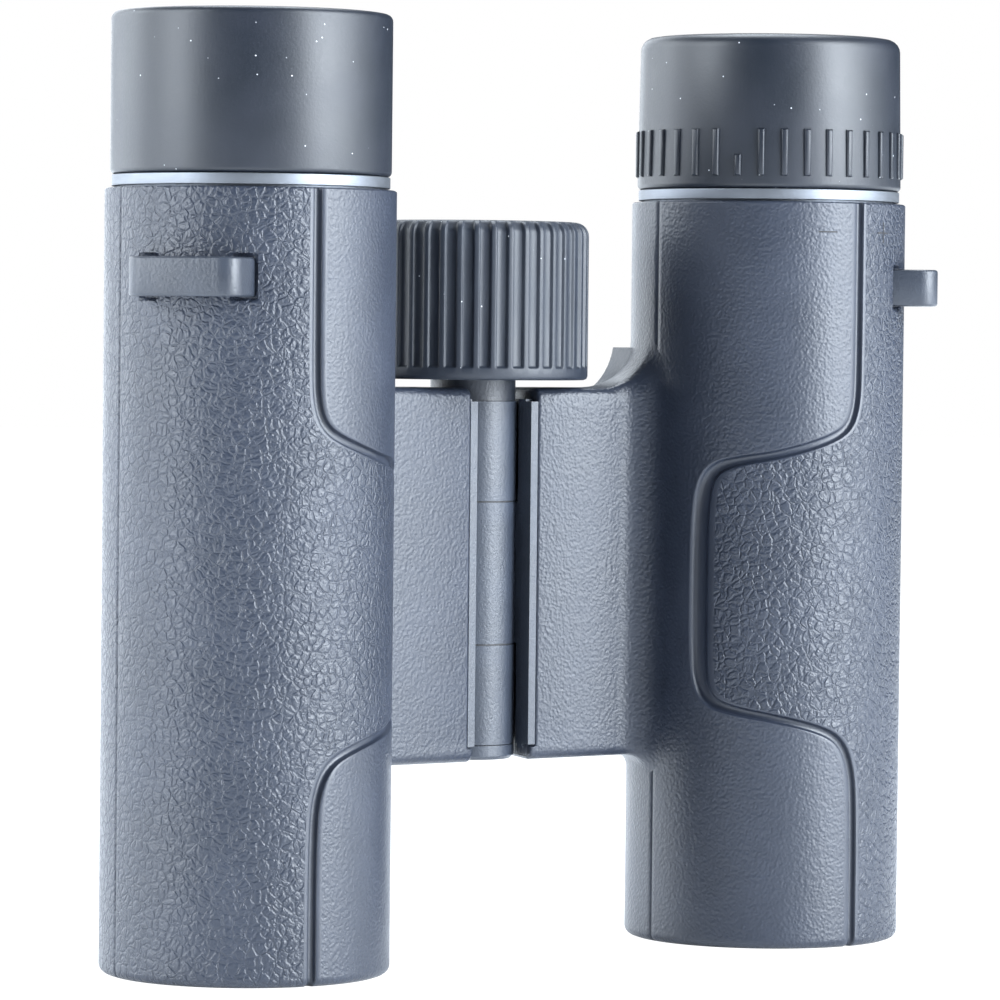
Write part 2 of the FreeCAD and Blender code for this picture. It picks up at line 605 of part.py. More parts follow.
def prisms(word, side):
    """A half-penta prism below a roof prism, both held in a cage that fills the housing."""
    axis = s["barrel_spacing"] * side
    low = s["prism_low"]
    half = s["prism_half"]
    depth = s["prism_depth"]
    front = barrel_line + depth / 2
    upper = low + s["prism_air"]
    lower = plate(f"{word}_half_penta_prism", [
        (-half, low), (half, low), (half, low + s["penta_near"]),
        (-s["penta_far"], low + s["penta_high"]), (-s["penta_far"], low + s["penta_side"])],
        "XZ_Plane", depth, (axis, front, 0))
    keep(lower, f"{word}_half_penta_prism")
    wedge = plate(f"{word}_roof_wedge", [
        (-s["wedge_far"], upper + s["wedge_high"]), (s["wedge_tip"], upper + s["wedge_tip_high"]),
        (s["wedge_near"], upper + s["wedge_high"])],
        "XZ_Plane", depth, (axis, front, 0))
    # The roof: two faces at a right angle to each other meet in the middle of the wedge's base.
    ridge = []
    for turn in (1, -1):
        chop = doc.addObject("Part::Box", f"{word}_roof_chop{turn}")
        chop.Length, chop.Width, chop.Height = ROOF_CHOP
        lean = FreeCAD.Rotation(FreeCAD.Vector(0, 1, 0), ROOF_LEAN)
        half_roof = FreeCAD.Rotation(FreeCAD.Vector(0, 0, 1), ROOF_TURN * turn)
        chop.Placement = FreeCAD.Placement(FreeCAD.Vector(0, 0, 0), lean.multiply(half_roof))
        middle = chop.Placement.multVec(FreeCAD.Vector(0, -ROOF_CHOP[1] / 2, -ROOF_CHOP[2] / 2))
        place(chop, axis + s["ridge_across"] + middle.x, barrel_line + middle.y,
              low + s["ridge_high"] + middle.z)
        ridge.append(chop)
    keep(cut(f"{word}_roof_prism", wedge, *ridge), f"{word}_roof_prism")
    cage_low = low - s["cage_foot"]
    cage_high = low + s["cage_high"]
    cage = cylinder(f"{word}_cage_block", s["bore_radius"] - s["fit_gap"], cage_low, cage_high,
                    axis, barrel_line)
    room = box(f"{word}_cage_room", side, s["barrel_spacing"] - s["cage_half"],
               s["barrel_spacing"] + s["cage_half"], barrel_line - depth / 2, front,
               low, low + s["penta_high"])
    light = cylinder(f"{word}_cage_light", half, cage_low - SPARE, cage_high + SPARE,
                     axis, barrel_line)
    keep(cut(f"{word}_prism_cage", cage, room, light), f"{word}_prism_cage")


def eyepiece(word, side):
    at = (s["barrel_spacing"] * side, barrel_line)
    eye = s["eye_radius"]
    tube = s["eye_tube_radius"]
    ledge = eye - s["eye_ledge"]
    low, stop, top = s["eye_tube_low"], s["stop_low"], s["eye_tube_high"]
    field_low, field_high, eye_low = s["field_low"], s["field_high"], s["eye_low"]
    field_rim = field_low + s["field_rim"]
    keep(turned(f"{word}_eyepiece_tube", [
        (ledge, low), (tube, low), (tube, top), (eye, top), (eye, eye_low), (ledge, eye_low),
        (ledge, field_high), (eye, field_high), (eye, stop), (ledge, stop)], *at),
        f"{word}_eyepiece_tube")
    keep(ring(f"{word}_field_stop", s["stop_radius"], eye, stop, stop + s["stop_thick"], *at),
         f"{word}_field_stop")
    keep(turned(f"{word}_field_lens", [
        (0, field_low), (eye * OUTER, field_low + s["field_mid"]), (eye, field_rim),
        (eye, field_rim + s["field_edge"]), (eye * OUTER, field_high - s["field_mid_high"]),
        (0, field_high)], *at), f"{word}_field_lens")
    dish = eye_low + s["eye_dish"]
    keep(turned(f"{word}_eye_lens", [
        (0, dish), (eye * OUTER, dish), (eye, eye_low), (eye, eye_low + s["eye_edge"]),
        (eye * OUTER, eye_low + s["eye_crown_mid"]), (0, eye_low + s["eye_crown"])],
        *at), f"{word}_eye_lens")
    keep(ring(f"{word}_eye_retainer", eye - s["retainer_width"], eye, s["retainer_low"],
              s["retainer_high"], *at), f"{word}_eye_retainer")
    keep(ring(f"{word}_trim_ring", s["neck_radius"] + s["fit_gap"], s["trim_radius"],
              s["armour_top"], s["trim_top"] - s["fit_gap"], *at), f"{word}_trim_ring")


def cup_ring(word, side):
    """The hard ring that carries the eyecup and turns, or is fixed, on the housing's neck."""
    lid = s["neck_top"] + s["ring_over"]
    lid_top = lid + s["ring_lid"]
    inside = s["neck_radius"] + s["fit_gap"]
    eye_hole = s["eye_tube_radius"] + s["ring_fit"]
    keep(turned(word, [
        (inside, s["trim_top"]), (s["ring_radius"], s["trim_top"]), (s["ring_radius"], lid_top),
        (eye_hole, lid_top), (eye_hole, lid), (inside, lid)],
        s["barrel_spacing"] * side, barrel_line), word)


def eyecup(word, side, ribs):
    cup = s["cup_radius"]
    top = s["cup_top"]
    bottom = s["trim_top"]
    bevel = s["cup_bevel"]
    turn_in = s["cup_round"]
    flange = s["neck_top"] + s["ring_over"] + s["ring_lid"]
    flange_top = flange + s["flange"]
    flange_inside = s["eye_tube_radius"] + s["flange_gap"]
    mouth = cup - s["cup_wall"]
    body = turned(f"{word}_eyecup", [
        (s["ring_radius"], bottom), (cup - bevel, bottom), (cup, bottom + bevel),
        (cup, top - turn_in), (cup - turn_in, top), (mouth + turn_in, top), (mouth, top - turn_in),
        (mouth, flange_top), (flange_inside, flange_top), (flange_inside, flange),
        (s["ring_radius"], flange)], s["barrel_spacing"] * side, barrel_line)
    if ribs:
        sketch = cross_sketch(body, f"{word}_rib", s["rib_width"], cup - s["cup_round"],
                              cup + s["rib_height"], bottom + s["rib_low"])
        rib = body.newObject("PartDesign::Pad", f"{word}_rib_pad")
        rib.Profile = sketch
        bind(rib, "Length", s["rib_length"])
        body.Tip = rib
        doc.recompute()
        polar(body, rib, ribs)
    keep(body, f"{word}_eyecup")


def barrel(word, side):
    lug_block = strap_lug(word, side)
    housing(word, side)
    armour(word, side, lug_block)
    objective(word, side)
    focusing(word, side)
    prisms(word, side)
    eyepiece(word, side)


barrel("left", -1)
barrel("right", 1)
cup_ring("left_cup_ring", -1)
cup_ring("dioptre_ring", 1)
eyecup("left", -1, 0)
eyecup("right", 1, CUP_RIBS)

# The hinge: one steel tube through all knuckles, with windows for the two focusing arms.
hinge_at = (0, hinge_line)
fit = s["fit_gap"]
tube_top = s["knuckle_high"] - 2 * fit
tube = ring("hinge_tube_blank", s["tube_bore"], s["tube_radius"], s["knuckle_low"] - fit,
            tube_top, *hinge_at)
window_play = s["travel"] + s["arm_play"]
windows = [
    sector(f"hinge_window_{name}", s["knuckle_radius"], bar - window_play,
           bar + s["bar_height"] + window_play, *opening, *hinge_at)
    for name, bar, opening in (("left", s["left_bar"], LEFT_WINDOW),
                               ("right", s["right_bar"], RIGHT_WINDOW))
]
keep(cut("hinge_tube", tube, *windows), "hinge_tube")
cap_low = s["bridge_low"] + fit
end_cap_top = s["knuckle_low"] - 2 * fit
plug = s["tube_bore"] - fit
keep(turned("hinge_end_cap", [
    (0, cap_low), (s["knuckle_radius"] - s["cap_bevel"], cap_low),
    (s["knuckle_radius"], cap_low + s["cap_bevel"]), (s["knuckle_radius"], end_cap_top),
    (plug, end_cap_top), (plug, s["plug_high"]), (0, s["plug_high"])], *hinge_at), "hinge_end_cap")
washer_free = fit / 5
washers = [
    ring(f"washer{n}", s["tube_radius"] + fit, s["knuckle_radius"] - 2 * fit,
         level - s["washer_half"] + washer_free, level + s["washer_half"] - washer_free, *hinge_at)
    for n, level in enumerate((s["joint_low"], s["joint_high"]))
]
washer_pair = doc.addObject("Part::Compound", "friction_washers")
washer_pair.Links = washers
keep(washer_pair, "friction_washers")

cover_inner = s["knuckle_radius"] + s["cover_gap"]
outer = sector("cover_outer", s["cover_radius"], s["knuckle_low"], s["knuckle_high"], *COVER,
               *hinge_at)
hollow = cylinder("cover_hollow", cover_inner, s["knuckle_low"] - SPARE,
                  s["knuckle_high"] + SPARE, *hinge_at)
shell = cut("cover_shell", outer, hollow)
pads = []
for number, (low, high) in enumerate(knuckles(-1)[0]):
    pad = sector(f"cover_pad{number}", cover_inner, low + s["pad_inset"], high - s["pad_inset"],
                 *COVER_PAD, *hinge_at)
    core = cylinder(f"cover_core{number}", s["knuckle_radius"], low, high, *hinge_at)
    pads.append(cut(f"cover_pad_ring{number}", pad, core))
keep(fused("hinge_cover", shell, *pads), "hinge_cover")

# Focusing: the wheel turns a spindle whose thread moves the carrier up and down in the tube.
spindle = s["spindle_radius"]
running = spindle + fit
groove = spindle + s["carrier_groove"]
carrier = s["tube_bore"] - s["carrier_gap"]
left_low = s["left_bar"] - fit
left_high = s["left_bar"] + s["bar_height"] + fit
right_low = s["right_bar"] - fit
right_high = s["right_bar"] + s["bar_height"] + fit
keep(turned("focus_carrier", [
    (running, s["carrier_low"]), (carrier, s["carrier_low"]), (carrier, left_low),
    (groove, left_low), (groove, left_high), (carrier, left_high), (carrier, right_low),
    (groove, right_low), (groove, right_high), (carrier, right_high),
    (carrier, s["carrier_high"]), (running, s["carrier_high"])], *hinge_at), "focus_carrier")
spindle_top = s["spindle_high"]
keep(turned("focus_spindle", [
    (0, s["spindle_low"]), (spindle, s["spindle_low"]), (spindle, s["collar_low"]),
    (carrier, s["collar_low"]), (carrier, s["collar_high"]), (spindle, s["collar_high"]),
    (spindle, spindle_top), (0, spindle_top)], *hinge_at), "focus_spindle")
keep(ring("focus_bush", running, s["tube_bore"], s["collar_high"] + 2 * fit, tube_top, *hinge_at),
     "focus_bush")
hub_low = s["knuckle_high"] + fit
wheel_low = s["wheel_low"]
wheel_high = s["wheel_high"]
core = s["core_radius"]
rim = wheel_high - s["rim_drop"]
face = wheel_high - s["face_drop"]
inside = core - s["face_wall"]
body_low = wheel_low + s["hub_step"]
keep(turned("wheel_hub", [
    (spindle, hub_low), (s["hub_radius"], hub_low), (s["hub_radius"], body_low), (core, body_low),
    (core, rim), (inside, rim), (inside, face), (s["well_radius"], face),
    (s["well_radius"], spindle_top), (spindle, spindle_top)], *hinge_at), "wheel_hub")
cap = inside - 2 * fit
cap_top = wheel_high - s["cap_drop"]
keep(turned("wheel_cap", [
    (0, face), (cap, face), (cap, cap_top - s["cap_bevel"]), (cap - s["cap_bevel"], cap_top),
    (0, cap_top)], *hinge_at), "wheel_cap")
screw_top = spindle_top + s["screw_height"]
keep(turned("wheel_screw", [
    (0, spindle_top), (s["screw_radius"], spindle_top), (s["screw_radius"], screw_top),
    (0, screw_top)], *hinge_at), "wheel_screw")

wheel = s["wheel_radius"]
rounding = s["grip_round"]
near_edge = rounding * 0.3  # an arc of that rounding passes this far inside each face at its middle
lip = core - s["face_wall"]
grip = turned("wheel_grip", [
    (core, wheel_low), (wheel - s["grip_bevel"], wheel_low), (wheel, wheel_low + s["grip_bevel"]),
    (wheel, wheel_high - rounding), (wheel - near_edge, wheel_high - near_edge),
    (wheel - rounding, wheel_high), (lip, wheel_high), (lip, rim), (core, rim)], *hinge_at)
notch_sketch = cross_sketch(grip, "wheel_notch", s["notch_width"], wheel - s["notch_depth"],
                            wheel + SPARE, wheel_low + s["notch_low"])
notch = grip.newObject("PartDesign::Pocket", "wheel_notch_cut")
notch.Profile = notch_sketch
bind(notch, "Length", s["wheel_high"] - s["wheel_low"])
notch.Reversed = True
grip.Tip = notch
doc.recompute()
plain_volume = grip.Group[1].Shape.Volume
polar(grip, notch, WHEEL_RIBS)
keep(grip, "wheel_grip")

doc.recompute()
for thing in doc.Objects:
    if "Invalid" in thing.State or "Error" in thing.State:
        raise RuntimeError(f"{thing.Name} failed: {thing.State}")
if grip.Shape.Volume >= plain_volume:
    raise RuntimeError("the wheel's grooves cut nothing")
os.makedirs("parts", exist_ok=True)
for thing in subparts:
    if thing.Shape.isNull() or not thing.Shape.isValid():
        raise RuntimeError(f"{thing.Label} has no valid shape")
for thing in subparts:
    thing.Shape.exportStep(f"parts/{thing.Label}.step")
    print(thing.Label, len(thing.Shape.Solids), round(thing.Shape.Volume, 1))
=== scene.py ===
import math

import bmesh
import bpy
import numpy as np
from mathutils import Matrix, Vector


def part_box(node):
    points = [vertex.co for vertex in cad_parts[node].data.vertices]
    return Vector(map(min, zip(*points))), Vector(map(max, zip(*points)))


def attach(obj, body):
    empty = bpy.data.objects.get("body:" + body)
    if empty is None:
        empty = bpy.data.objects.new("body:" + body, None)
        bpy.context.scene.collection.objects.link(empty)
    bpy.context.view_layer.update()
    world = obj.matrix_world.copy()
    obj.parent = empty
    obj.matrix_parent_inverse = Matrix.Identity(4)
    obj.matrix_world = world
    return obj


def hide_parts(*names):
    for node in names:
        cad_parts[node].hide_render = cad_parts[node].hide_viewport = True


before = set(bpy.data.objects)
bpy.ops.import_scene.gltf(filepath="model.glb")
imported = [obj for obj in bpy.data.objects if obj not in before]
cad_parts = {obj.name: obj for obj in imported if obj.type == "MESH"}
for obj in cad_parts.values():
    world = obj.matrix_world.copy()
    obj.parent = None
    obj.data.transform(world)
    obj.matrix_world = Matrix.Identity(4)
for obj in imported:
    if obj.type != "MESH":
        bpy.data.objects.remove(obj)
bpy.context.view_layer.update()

# ---------------------------------------------------------------------------------------------
# Studio: a white table and backdrop inside a ring of tall soft panels. The strongest stand to the
# right and the left and none beside the camera, so that round black rubber shows two bright bands.
SENSOR_WIDTH = 36.0  # mm, as is the lens
LENS = 192.6
CAMERA_PLACE = Vector((-0.35412, -0.49658, 0.07117))
CAMERA_HEADING = math.radians(35.46)  # turned from +Y towards +X
CAMERA_DIP = math.radians(1.85)
CAMERA_ROLL = math.radians(0.60)
LAMP_COLOUR = (0.86, 0.93, 1.0)
LAMPS_AIM_AT = Vector((0, 0, 0.05))
PANELS = ((-160, 2.2), (-130, 2.6), (-105, 4.1), (-80, 2.0), (-58, 7.4), (58, 13.6), (80, 5.8),
          (105, 1.0))  # degrees to the right of the camera, and watts
PANEL_HEIGHT, PANEL_DISTANCE, PANEL_SIZE = 0.28, 0.70, (0.26, 0.60)
TOP_HEIGHT, TOP_DISTANCE, TOP_SIZE, TOP_POWER = 1.0, 0.40, (0.60, 0.60), 13.5
SKY_COLOUR, SKY_STRENGTH = (0.80, 0.88, 1.0), 0.02
TABLE_COLOUR, TABLE_ROUGHNESS, TABLE_RADIUS = (0.93, 0.94, 0.95), 0.6, 3.0
TABLE_LIGHT, TABLE_LIGHT_STRENGTH = (0.90, 0.95, 1.0), 0.43
BACKDROP_SHARE, BACKDROP_STRENGTH = 0.82, 1.15

scene = bpy.context.scene
scene.view_settings.view_transform = "Standard"

camera_data = bpy.data.cameras.new("camera")
camera = bpy.data.objects.new("camera", camera_data)
scene.collection.objects.link(camera)
scene.camera = camera
camera_data.sensor_width = SENSOR_WIDTH
camera_data.lens = LENS
look = Vector((math.sin(CAMERA_HEADING) * math.cos(CAMERA_DIP),
               math.cos(CAMERA_HEADING) * math.cos(CAMERA_DIP), -math.sin(CAMERA_DIP)))
level = Vector((math.cos(CAMERA_HEADING), -math.sin(CAMERA_HEADING), 0.0))
above = level.cross(look)
right = level * math.cos(CAMERA_ROLL) + above * math.sin(CAMERA_ROLL)
up = above * math.cos(CAMERA_ROLL) - level * math.sin(CAMERA_ROLL)
camera.matrix_world = Matrix((
    (right.x, up.x, -look.x, CAMERA_PLACE.x),
    (right.y, up.y, -look.y, CAMERA_PLACE.y),
    (right.z, up.z, -look.z, CAMERA_PLACE.z),
    (0, 0, 0, 1),
))


def soft_box(name, turn, height, distance, size, power):
    """A rectangular lamp that faces the object; turn is from the camera's own side."""
    lamp = bpy.data.lights.new(name, "AREA")
    lamp.shape = "RECTANGLE"
    lamp.size, lamp.size_y = size
    lamp.energy = power
    lamp.color = LAMP_COLOUR
    stand = bpy.data.objects.new(name, lamp)
    scene.collection.objects.link(stand)
    heading = CAMERA_HEADING + math.pi - turn
    place = LAMPS_AIM_AT + Vector((math.sin(heading), math.cos(heading), 0)) * distance
    place.z = height
    stand.location = place
    stand.rotation_euler = (LAMPS_AIM_AT - place).to_track_quat("-Z", "Y").to_euler()


for turn, power in PANELS:
    soft_box(f"panel_{turn}", math.radians(turn), PANEL_HEIGHT, PANEL_DISTANCE, PANEL_SIZE, power)
soft_box("top_panel", math.pi, TOP_HEIGHT, TOP_DISTANCE, TOP_SIZE, TOP_POWER)

world = bpy.data.worlds.new("studio")
scene.world = world
world.use_nodes = True
sky = world.node_tree
seen = sky.nodes.new("ShaderNodeLightPath")
mixer = sky.nodes.new("ShaderNodeMixShader")
dim = sky.nodes["Background"]
dim.inputs["Color"].default_value = (*SKY_COLOUR, 1)
dim.inputs["Strength"].default_value = SKY_STRENGTH
bright = sky.nodes.new("ShaderNodeBackground")
bright.inputs["Color"].default_value = (1, 1, 1, 1)
sky.links.new(seen.outputs["Is Camera Ray"], mixer.inputs["Fac"])
sky.links.new(dim.outputs[0], mixer.inputs[1])
sky.links.new(bright.outputs[0], mixer.inputs[2])
sky.links.new(mixer.outputs[0], sky.nodes["World Output"].inputs["Surface"])


class Value:
    """A shader socket that Python sums can use; each operator adds one Math node."""

    def __init__(self, finish, socket):
        self.finish = finish
        self.socket = socket

    def math(self, operation, *others):
        return self.finish.node("ShaderNodeMath", {"operation": operation}, [self, *others])

    def __add__(self, other):
        return self.math("ADD", other)

    def __sub__(self, other):
        return self.math("SUBTRACT", other)

    def __mul__(self, other):
        return self.math("MULTIPLY", other)

    def __rsub__(self, other):
        return self.finish.node("ShaderNodeMath", {"operation": "SUBTRACT"}, [other, self])

    __radd__ = __add__
    __rmul__ = __mul__

    def within(self, low, high):
        """0 below low, 1 above high and smooth between them."""
        settings = {"interpolation_type": "SMOOTHSTEP", "clamp": True}
        return self.finish.node("ShaderNodeMapRange", settings,
                                {"Value": self, "From Min": low, "From Max": high})


class Finish:
    """One material: a principled shader, and one method that adds any other node."""

    def __init__(self, name, **sockets):
        self.material = bpy.data.materials.new(name)
        self.material.use_nodes = True
        self.tree = self.material.node_tree
        self.shader = self.tree.nodes["Principled BSDF"]
        self.set(**sockets)

    def set(self, **sockets):
        for name, value in sockets.items():
            self.feed(self.shader.inputs[name.replace("_", " ")], value)

    def feed(self, socket, value):
        if isinstance(value, Value):
            self.tree.links.new(value.socket, socket)
        elif socket.type == "RGBA":
            socket.default_value = (*value, 1.0)
        else:
            socket.default_value = value

    def node(self, kind, settings=None, inputs=None, output=0):
        node = self.tree.nodes.new(kind)
        for name, value in (settings or {}).items():
            setattr(node, name, value)
        pairs = inputs.items() if isinstance(inputs, dict) else enumerate(inputs or [])
        for key, value in pairs:
            self.feed(node.inputs[key], value)
        return Value(self, node.outputs[output])

    def place(self):
        return self.node("ShaderNodeTexCoord", output="Object")

    def noise(self, size, detail=2.0, rough=0.5, at=None):
        """Cloudy noise whose blobs are about size metres wide."""
        at = at or self.place()
        return self.node("ShaderNodeTexNoise", None,
                         {"Vector": at, "Scale": 1.0 / size, "Detail": detail, "Roughness": rough})

    def cells(self, size, at, feature="F1"):
        """Round cells about size metres wide: the distance from each cell's middle or edge."""
        return self.node("ShaderNodeTexVoronoi", {"feature": feature},
                         {"Vector": at, "Scale": 1.0 / size}, "Distance")

    def blend(self, share, first, second):
        """A colour mix: first where share is 0, second where it is 1."""
        node = self.tree.nodes.new("ShaderNodeMix")
        node.data_type = "RGBA"
        self.feed(node.inputs[0], share)
        self.feed(node.inputs[6], first)
        self.feed(node.inputs[7], second)
        return Value(self, node.outputs[2])

    def bump(self, height, depth):
        """Relief: height is 0 to 1 and depth is its full height in metres."""
        return self.node("ShaderNodeBump", None, {"Height": height, "Distance": depth})


table_finish = Finish("white_table", Base_Color=TABLE_COLOUR, Roughness=TABLE_ROUGHNESS,
                      Emission_Color=TABLE_LIGHT, Emission_Strength=TABLE_LIGHT_STRENGTH)
lit_table = Value(table_finish, table_finish.shader.outputs["BSDF"])
backdrop = table_finish.node("ShaderNodeEmission", None, {"Strength": BACKDROP_STRENGTH})
seen_share = table_finish.node("ShaderNodeLightPath", output="Is Camera Ray") * BACKDROP_SHARE
shown = table_finish.node("ShaderNodeMixShader", None, [seen_share, lit_table, backdrop])
table_finish.feed(table_finish.tree.nodes["Material Output"].inputs["Surface"], shown)
bm = bmesh.new()
bmesh.ops.create_circle(bm, cap_ends=True, segments=64, radius=TABLE_RADIUS)
table_mesh = bpy.data.meshes.new("table")
bm.to_mesh(table_mesh)
bm.free()
table_mesh.materials.append(table_finish.material)
table = bpy.data.objects.new("table", table_mesh)
scene.collection.objects.link(table)

# ---------------------------------------------------------------------------------------------
# Housings: the hard glass-filled plastic bodies of both barrels, each moulded in one piece with
# its arm of the bridge and its hinge knuckles. They show in the hinge slot and under the eyecups.
MM = 0.001
PLASTIC_GRAIN = 0.35 * MM
PLASTIC_GRAIN_DEPTH = 0.05 * MM
PLASTIC_CLOUD = 6 * MM
WEAR = 1.3  # how much paler the worn places are


def moulded_plastic(name, colour, roughness):
    """Black engineering plastic: satin, with a faint moulded grain and cloudy gloss."""
    finish = Finish(name)
    cloud = finish.noise(PLASTIC_CLOUD, detail=3.0)
    fine = finish.noise(PLASTIC_GRAIN, detail=3.0, rough=0.6)
    worn = tuple(part * WEAR for part in colour)
    finish.set(
        Base_Color=finish.blend(cloud.within(0.35, 0.75), colour, worn),
        Roughness=roughness + (cloud - 0.5) * 0.16 + (fine - 0.5) * 0.12,
        Normal=finish.bump(fine, PLASTIC_GRAIN_DEPTH),
    )
    return finish


def dress(finish, *nodes):
    """Gives parts of the frame their finish."""
    for node in nodes:
        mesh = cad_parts[node].data
        mesh.materials.clear()
        mesh.materials.append(finish.material)


SIDES = {"left": -1, "right": 1}


def each(*names):
    return [f"{word}_{name}" for name in names for word in SIDES]


housing_plastic = moulded_plastic("housing_plastic", (0.024, 0.030, 0.043), 0.40)
dress(housing_plastic, *each("housing"), "hinge_cover", "hinge_end_cap")

# ---------------------------------------------------------------------------------------------
# Rubber armour: one thick moulding over each barrel and its half of the bridge. A smooth channel
# parts the leather-grained outer panel from the fine pebble of the inner side, and the lug's feet
# come out of small wells. The right one carries a minus and a plus for the dioptre setting.
WALL = 1.6 * MM
BARREL = 16.0 * MM
UNDERFOOT_LIP = 13.5 * MM
UNDERFOOT_LIP_HEIGHT = 1.2 * MM
UNDERFOOT_SOFT = 0.3 * MM
FOOT_ROUND = 1.0 * MM
FOOT_PULL = 0.92 * MM  # the foot's rounding ends just short of level
TOP_ROUND = 0.22 * MM
SEAM_ANGLE = -181.0  # the moulding's parting line, on the side that faces the other barrel
# The channel from the eyepiece end to the objective end: degrees round the barrel from straight
# outwards towards the underside, height in mm, and half its width in mm.
CHANNEL = (
    (-86.9, 86.00, 0.54), (-86.9, 66.0, 0.54), (-87.6, 62.6, 0.54), (-91.0, 60.1, 0.54),
    (-100.7, 58.6, 0.54), (-122.3, 56.9, 0.52), (-139.0, 56.2, 0.56), (-150.0, 55.3, 0.80),
    (-155.0, 52.9, 1.05), (-156.4, 47.5, 1.15), (-156.4, 35.0, 1.15), (-155.6, 30.6, 1.05),
    (-151.0, 28.4, 0.80), (-142.0, 27.5, 0.56), (-123.0, 26.6, 0.52), (-103.7, 25.3, 0.52),
    (-94.0, 23.9, 0.54), (-89.0, 21.2, 0.54), (-87.0, 17.2, 0.54), (-87.0, 0.0, 0.54),
)
FURTHEST_ON_TOP = 112.0  # on the top side the panel ends short of the bridge
WIDEST_ON_TOP = 0.8
# The channel's section: place across in half widths, and depth in mm.
SECTION = ((-1.10, 0.0), (-0.96, 0.05), (-0.84, 0.28), (-0.68, 0.54), (-0.36, 0.62), (0.0, 0.64),
           (0.36, 0.62), (0.68, 0.54), (0.84, 0.28), (0.96, 0.05), (1.10, 0.0))
# Fine parting lines where the mould halves met: place across and depth, both in mm.
PARTING = ((-0.20, 0.0), (-0.09, 0.10), (0.0, 0.16), (0.09, 0.10), (0.20, 0.0))
OUTER_PARTING = 1.3
TWIST = {"left": math.radians(2.8), "right": 0.0}  # how far each moulding sits round its barrel
INNER_COLUMNS = 44
PANEL_COLUMNS = (62, 76)  # before and after the outer parting line


def middle_of(node):
    low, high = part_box(node)
    return (low + high) / 2


barrel_axis = {word: middle_of(f"{word}_trim_ring") for word in SIDES}
hinge_axis = middle_of("wheel_cap")
armour_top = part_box("left_trim_ring")[0].z
lug_low, lug_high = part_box("left_strap_lug")
LUG_ANGLE = -37.3
LUG_FOOT = 5.6 * MM  # middle of a foot from the middle of the lug
WELL_HALF = 1.28 * MM
WELL_REACH = 0.32 * MM
WELL_DEPTH = 0.6 * MM
WELL_CORNER = 0.3 * MM
WELL_SOFT = 0.34 * MM
# Steps along the channel in mm, and how far the finer ones reach from the ends and from the lug.
STEP_NEAR_END, STEP_BESIDE_LUG, STEP_ELSEWHERE = 0.12, 0.22, 0.75
END_REACH = 1.3 * MM
LUG_REACH = 2 * MM
SAME_PLACE = 0.001 * MM


def rounded(points, rounds=3):
    """Cuts the corners off an open line again and again, which makes it a smooth curve."""
    points = np.array(points, float)
    for _ in range(rounds):
        near = points[:-1] * 0.75 + points[1:] * 0.25
        far = points[:-1] * 0.25 + points[1:] * 0.75
        between = np.stack((near, far), 1).reshape(-1, points.shape[1])
        points = np.vstack((points[:1], between, points[-1:]))
    return points


def stations(curve):
    """Places along the channel, as whole and part steps of its curve, closer beside the lug."""
    length = np.radians(curve[:, 0]) * BARREL / MM
    run = np.hypot(np.diff(length), np.diff(curve[:, 1]))
    gone = np.concatenate(([0], np.cumsum(run)))
    places = [0.0]
    while places[-1] < gone[-1]:
        height = np.interp(places[-1], gone, curve[:, 1]) * MM
        step = STEP_ELSEWHERE
        if lug_low.z - LUG_REACH < height < lug_high.z + LUG_REACH:
            step = STEP_BESIDE_LUG
        if min(height, armour_top - height) < END_REACH:
            step = STEP_NEAR_END
        places.append(places[-1] + step)
    places[-1] = gone[-1]
    return np.interp(places, gone, np.arange(len(curve)))


def edges_of_channel(curve, steps):
    """For each station: arc length round the barrel, height, half width and the way across."""
    at = np.array([np.interp(steps, np.arange(len(curve)), column) for column in curve.T])
    along = np.radians(at[0]) * BARREL
    height = at[1] * MM
    half = at[2] * MM
    slope_along, slope_up = np.gradient(along), np.gradient(height)
    size = np.hypot(slope_along, slope_up)
    across = np.stack((-slope_up / size, slope_along / size), 1)
    return np.stack((along, height), 1), half, across


def smoothstep(value):
    value = np.clip(value, 0, 1)
    return value * value * (3 - 2 * value)


def well_depth(along, height):
    """The wells round the feet of the lug, with soft edges."""
    foot_arc = BARREL * math.asin(LUG_FOOT / BARREL)
    middle = BARREL * math.radians(LUG_ANGLE)
    beside = np.abs(np.abs(along - middle) - foot_arc) - WELL_HALF
    above = np.abs(height - (lug_low.z + lug_high.z) / 2) - (lug_high.z - lug_low.z) / 2 - WELL_REACH
    outside = np.hypot(np.maximum(beside + WELL_CORNER, 0), np.maximum(above + WELL_CORNER, 0))
    return WELL_DEPTH * smoothstep(0.5 - (outside - WELL_CORNER) / WELL_SOFT)


def edge_round(height):
    """How far the skin pulls in at the rounded foot and at the thin rounded top edge."""
    foot = np.clip(FOOT_ROUND - height, 0, FOOT_ROUND)
    top = np.clip(height - (armour_top - TOP_ROUND), 0, TOP_ROUND)
    pulled = FOOT_ROUND - np.sqrt(FOOT_ROUND**2 - foot**2)
    return np.minimum(pulled, FOOT_PULL) + TOP_ROUND - np.sqrt(TOP_ROUND**2 - top**2)


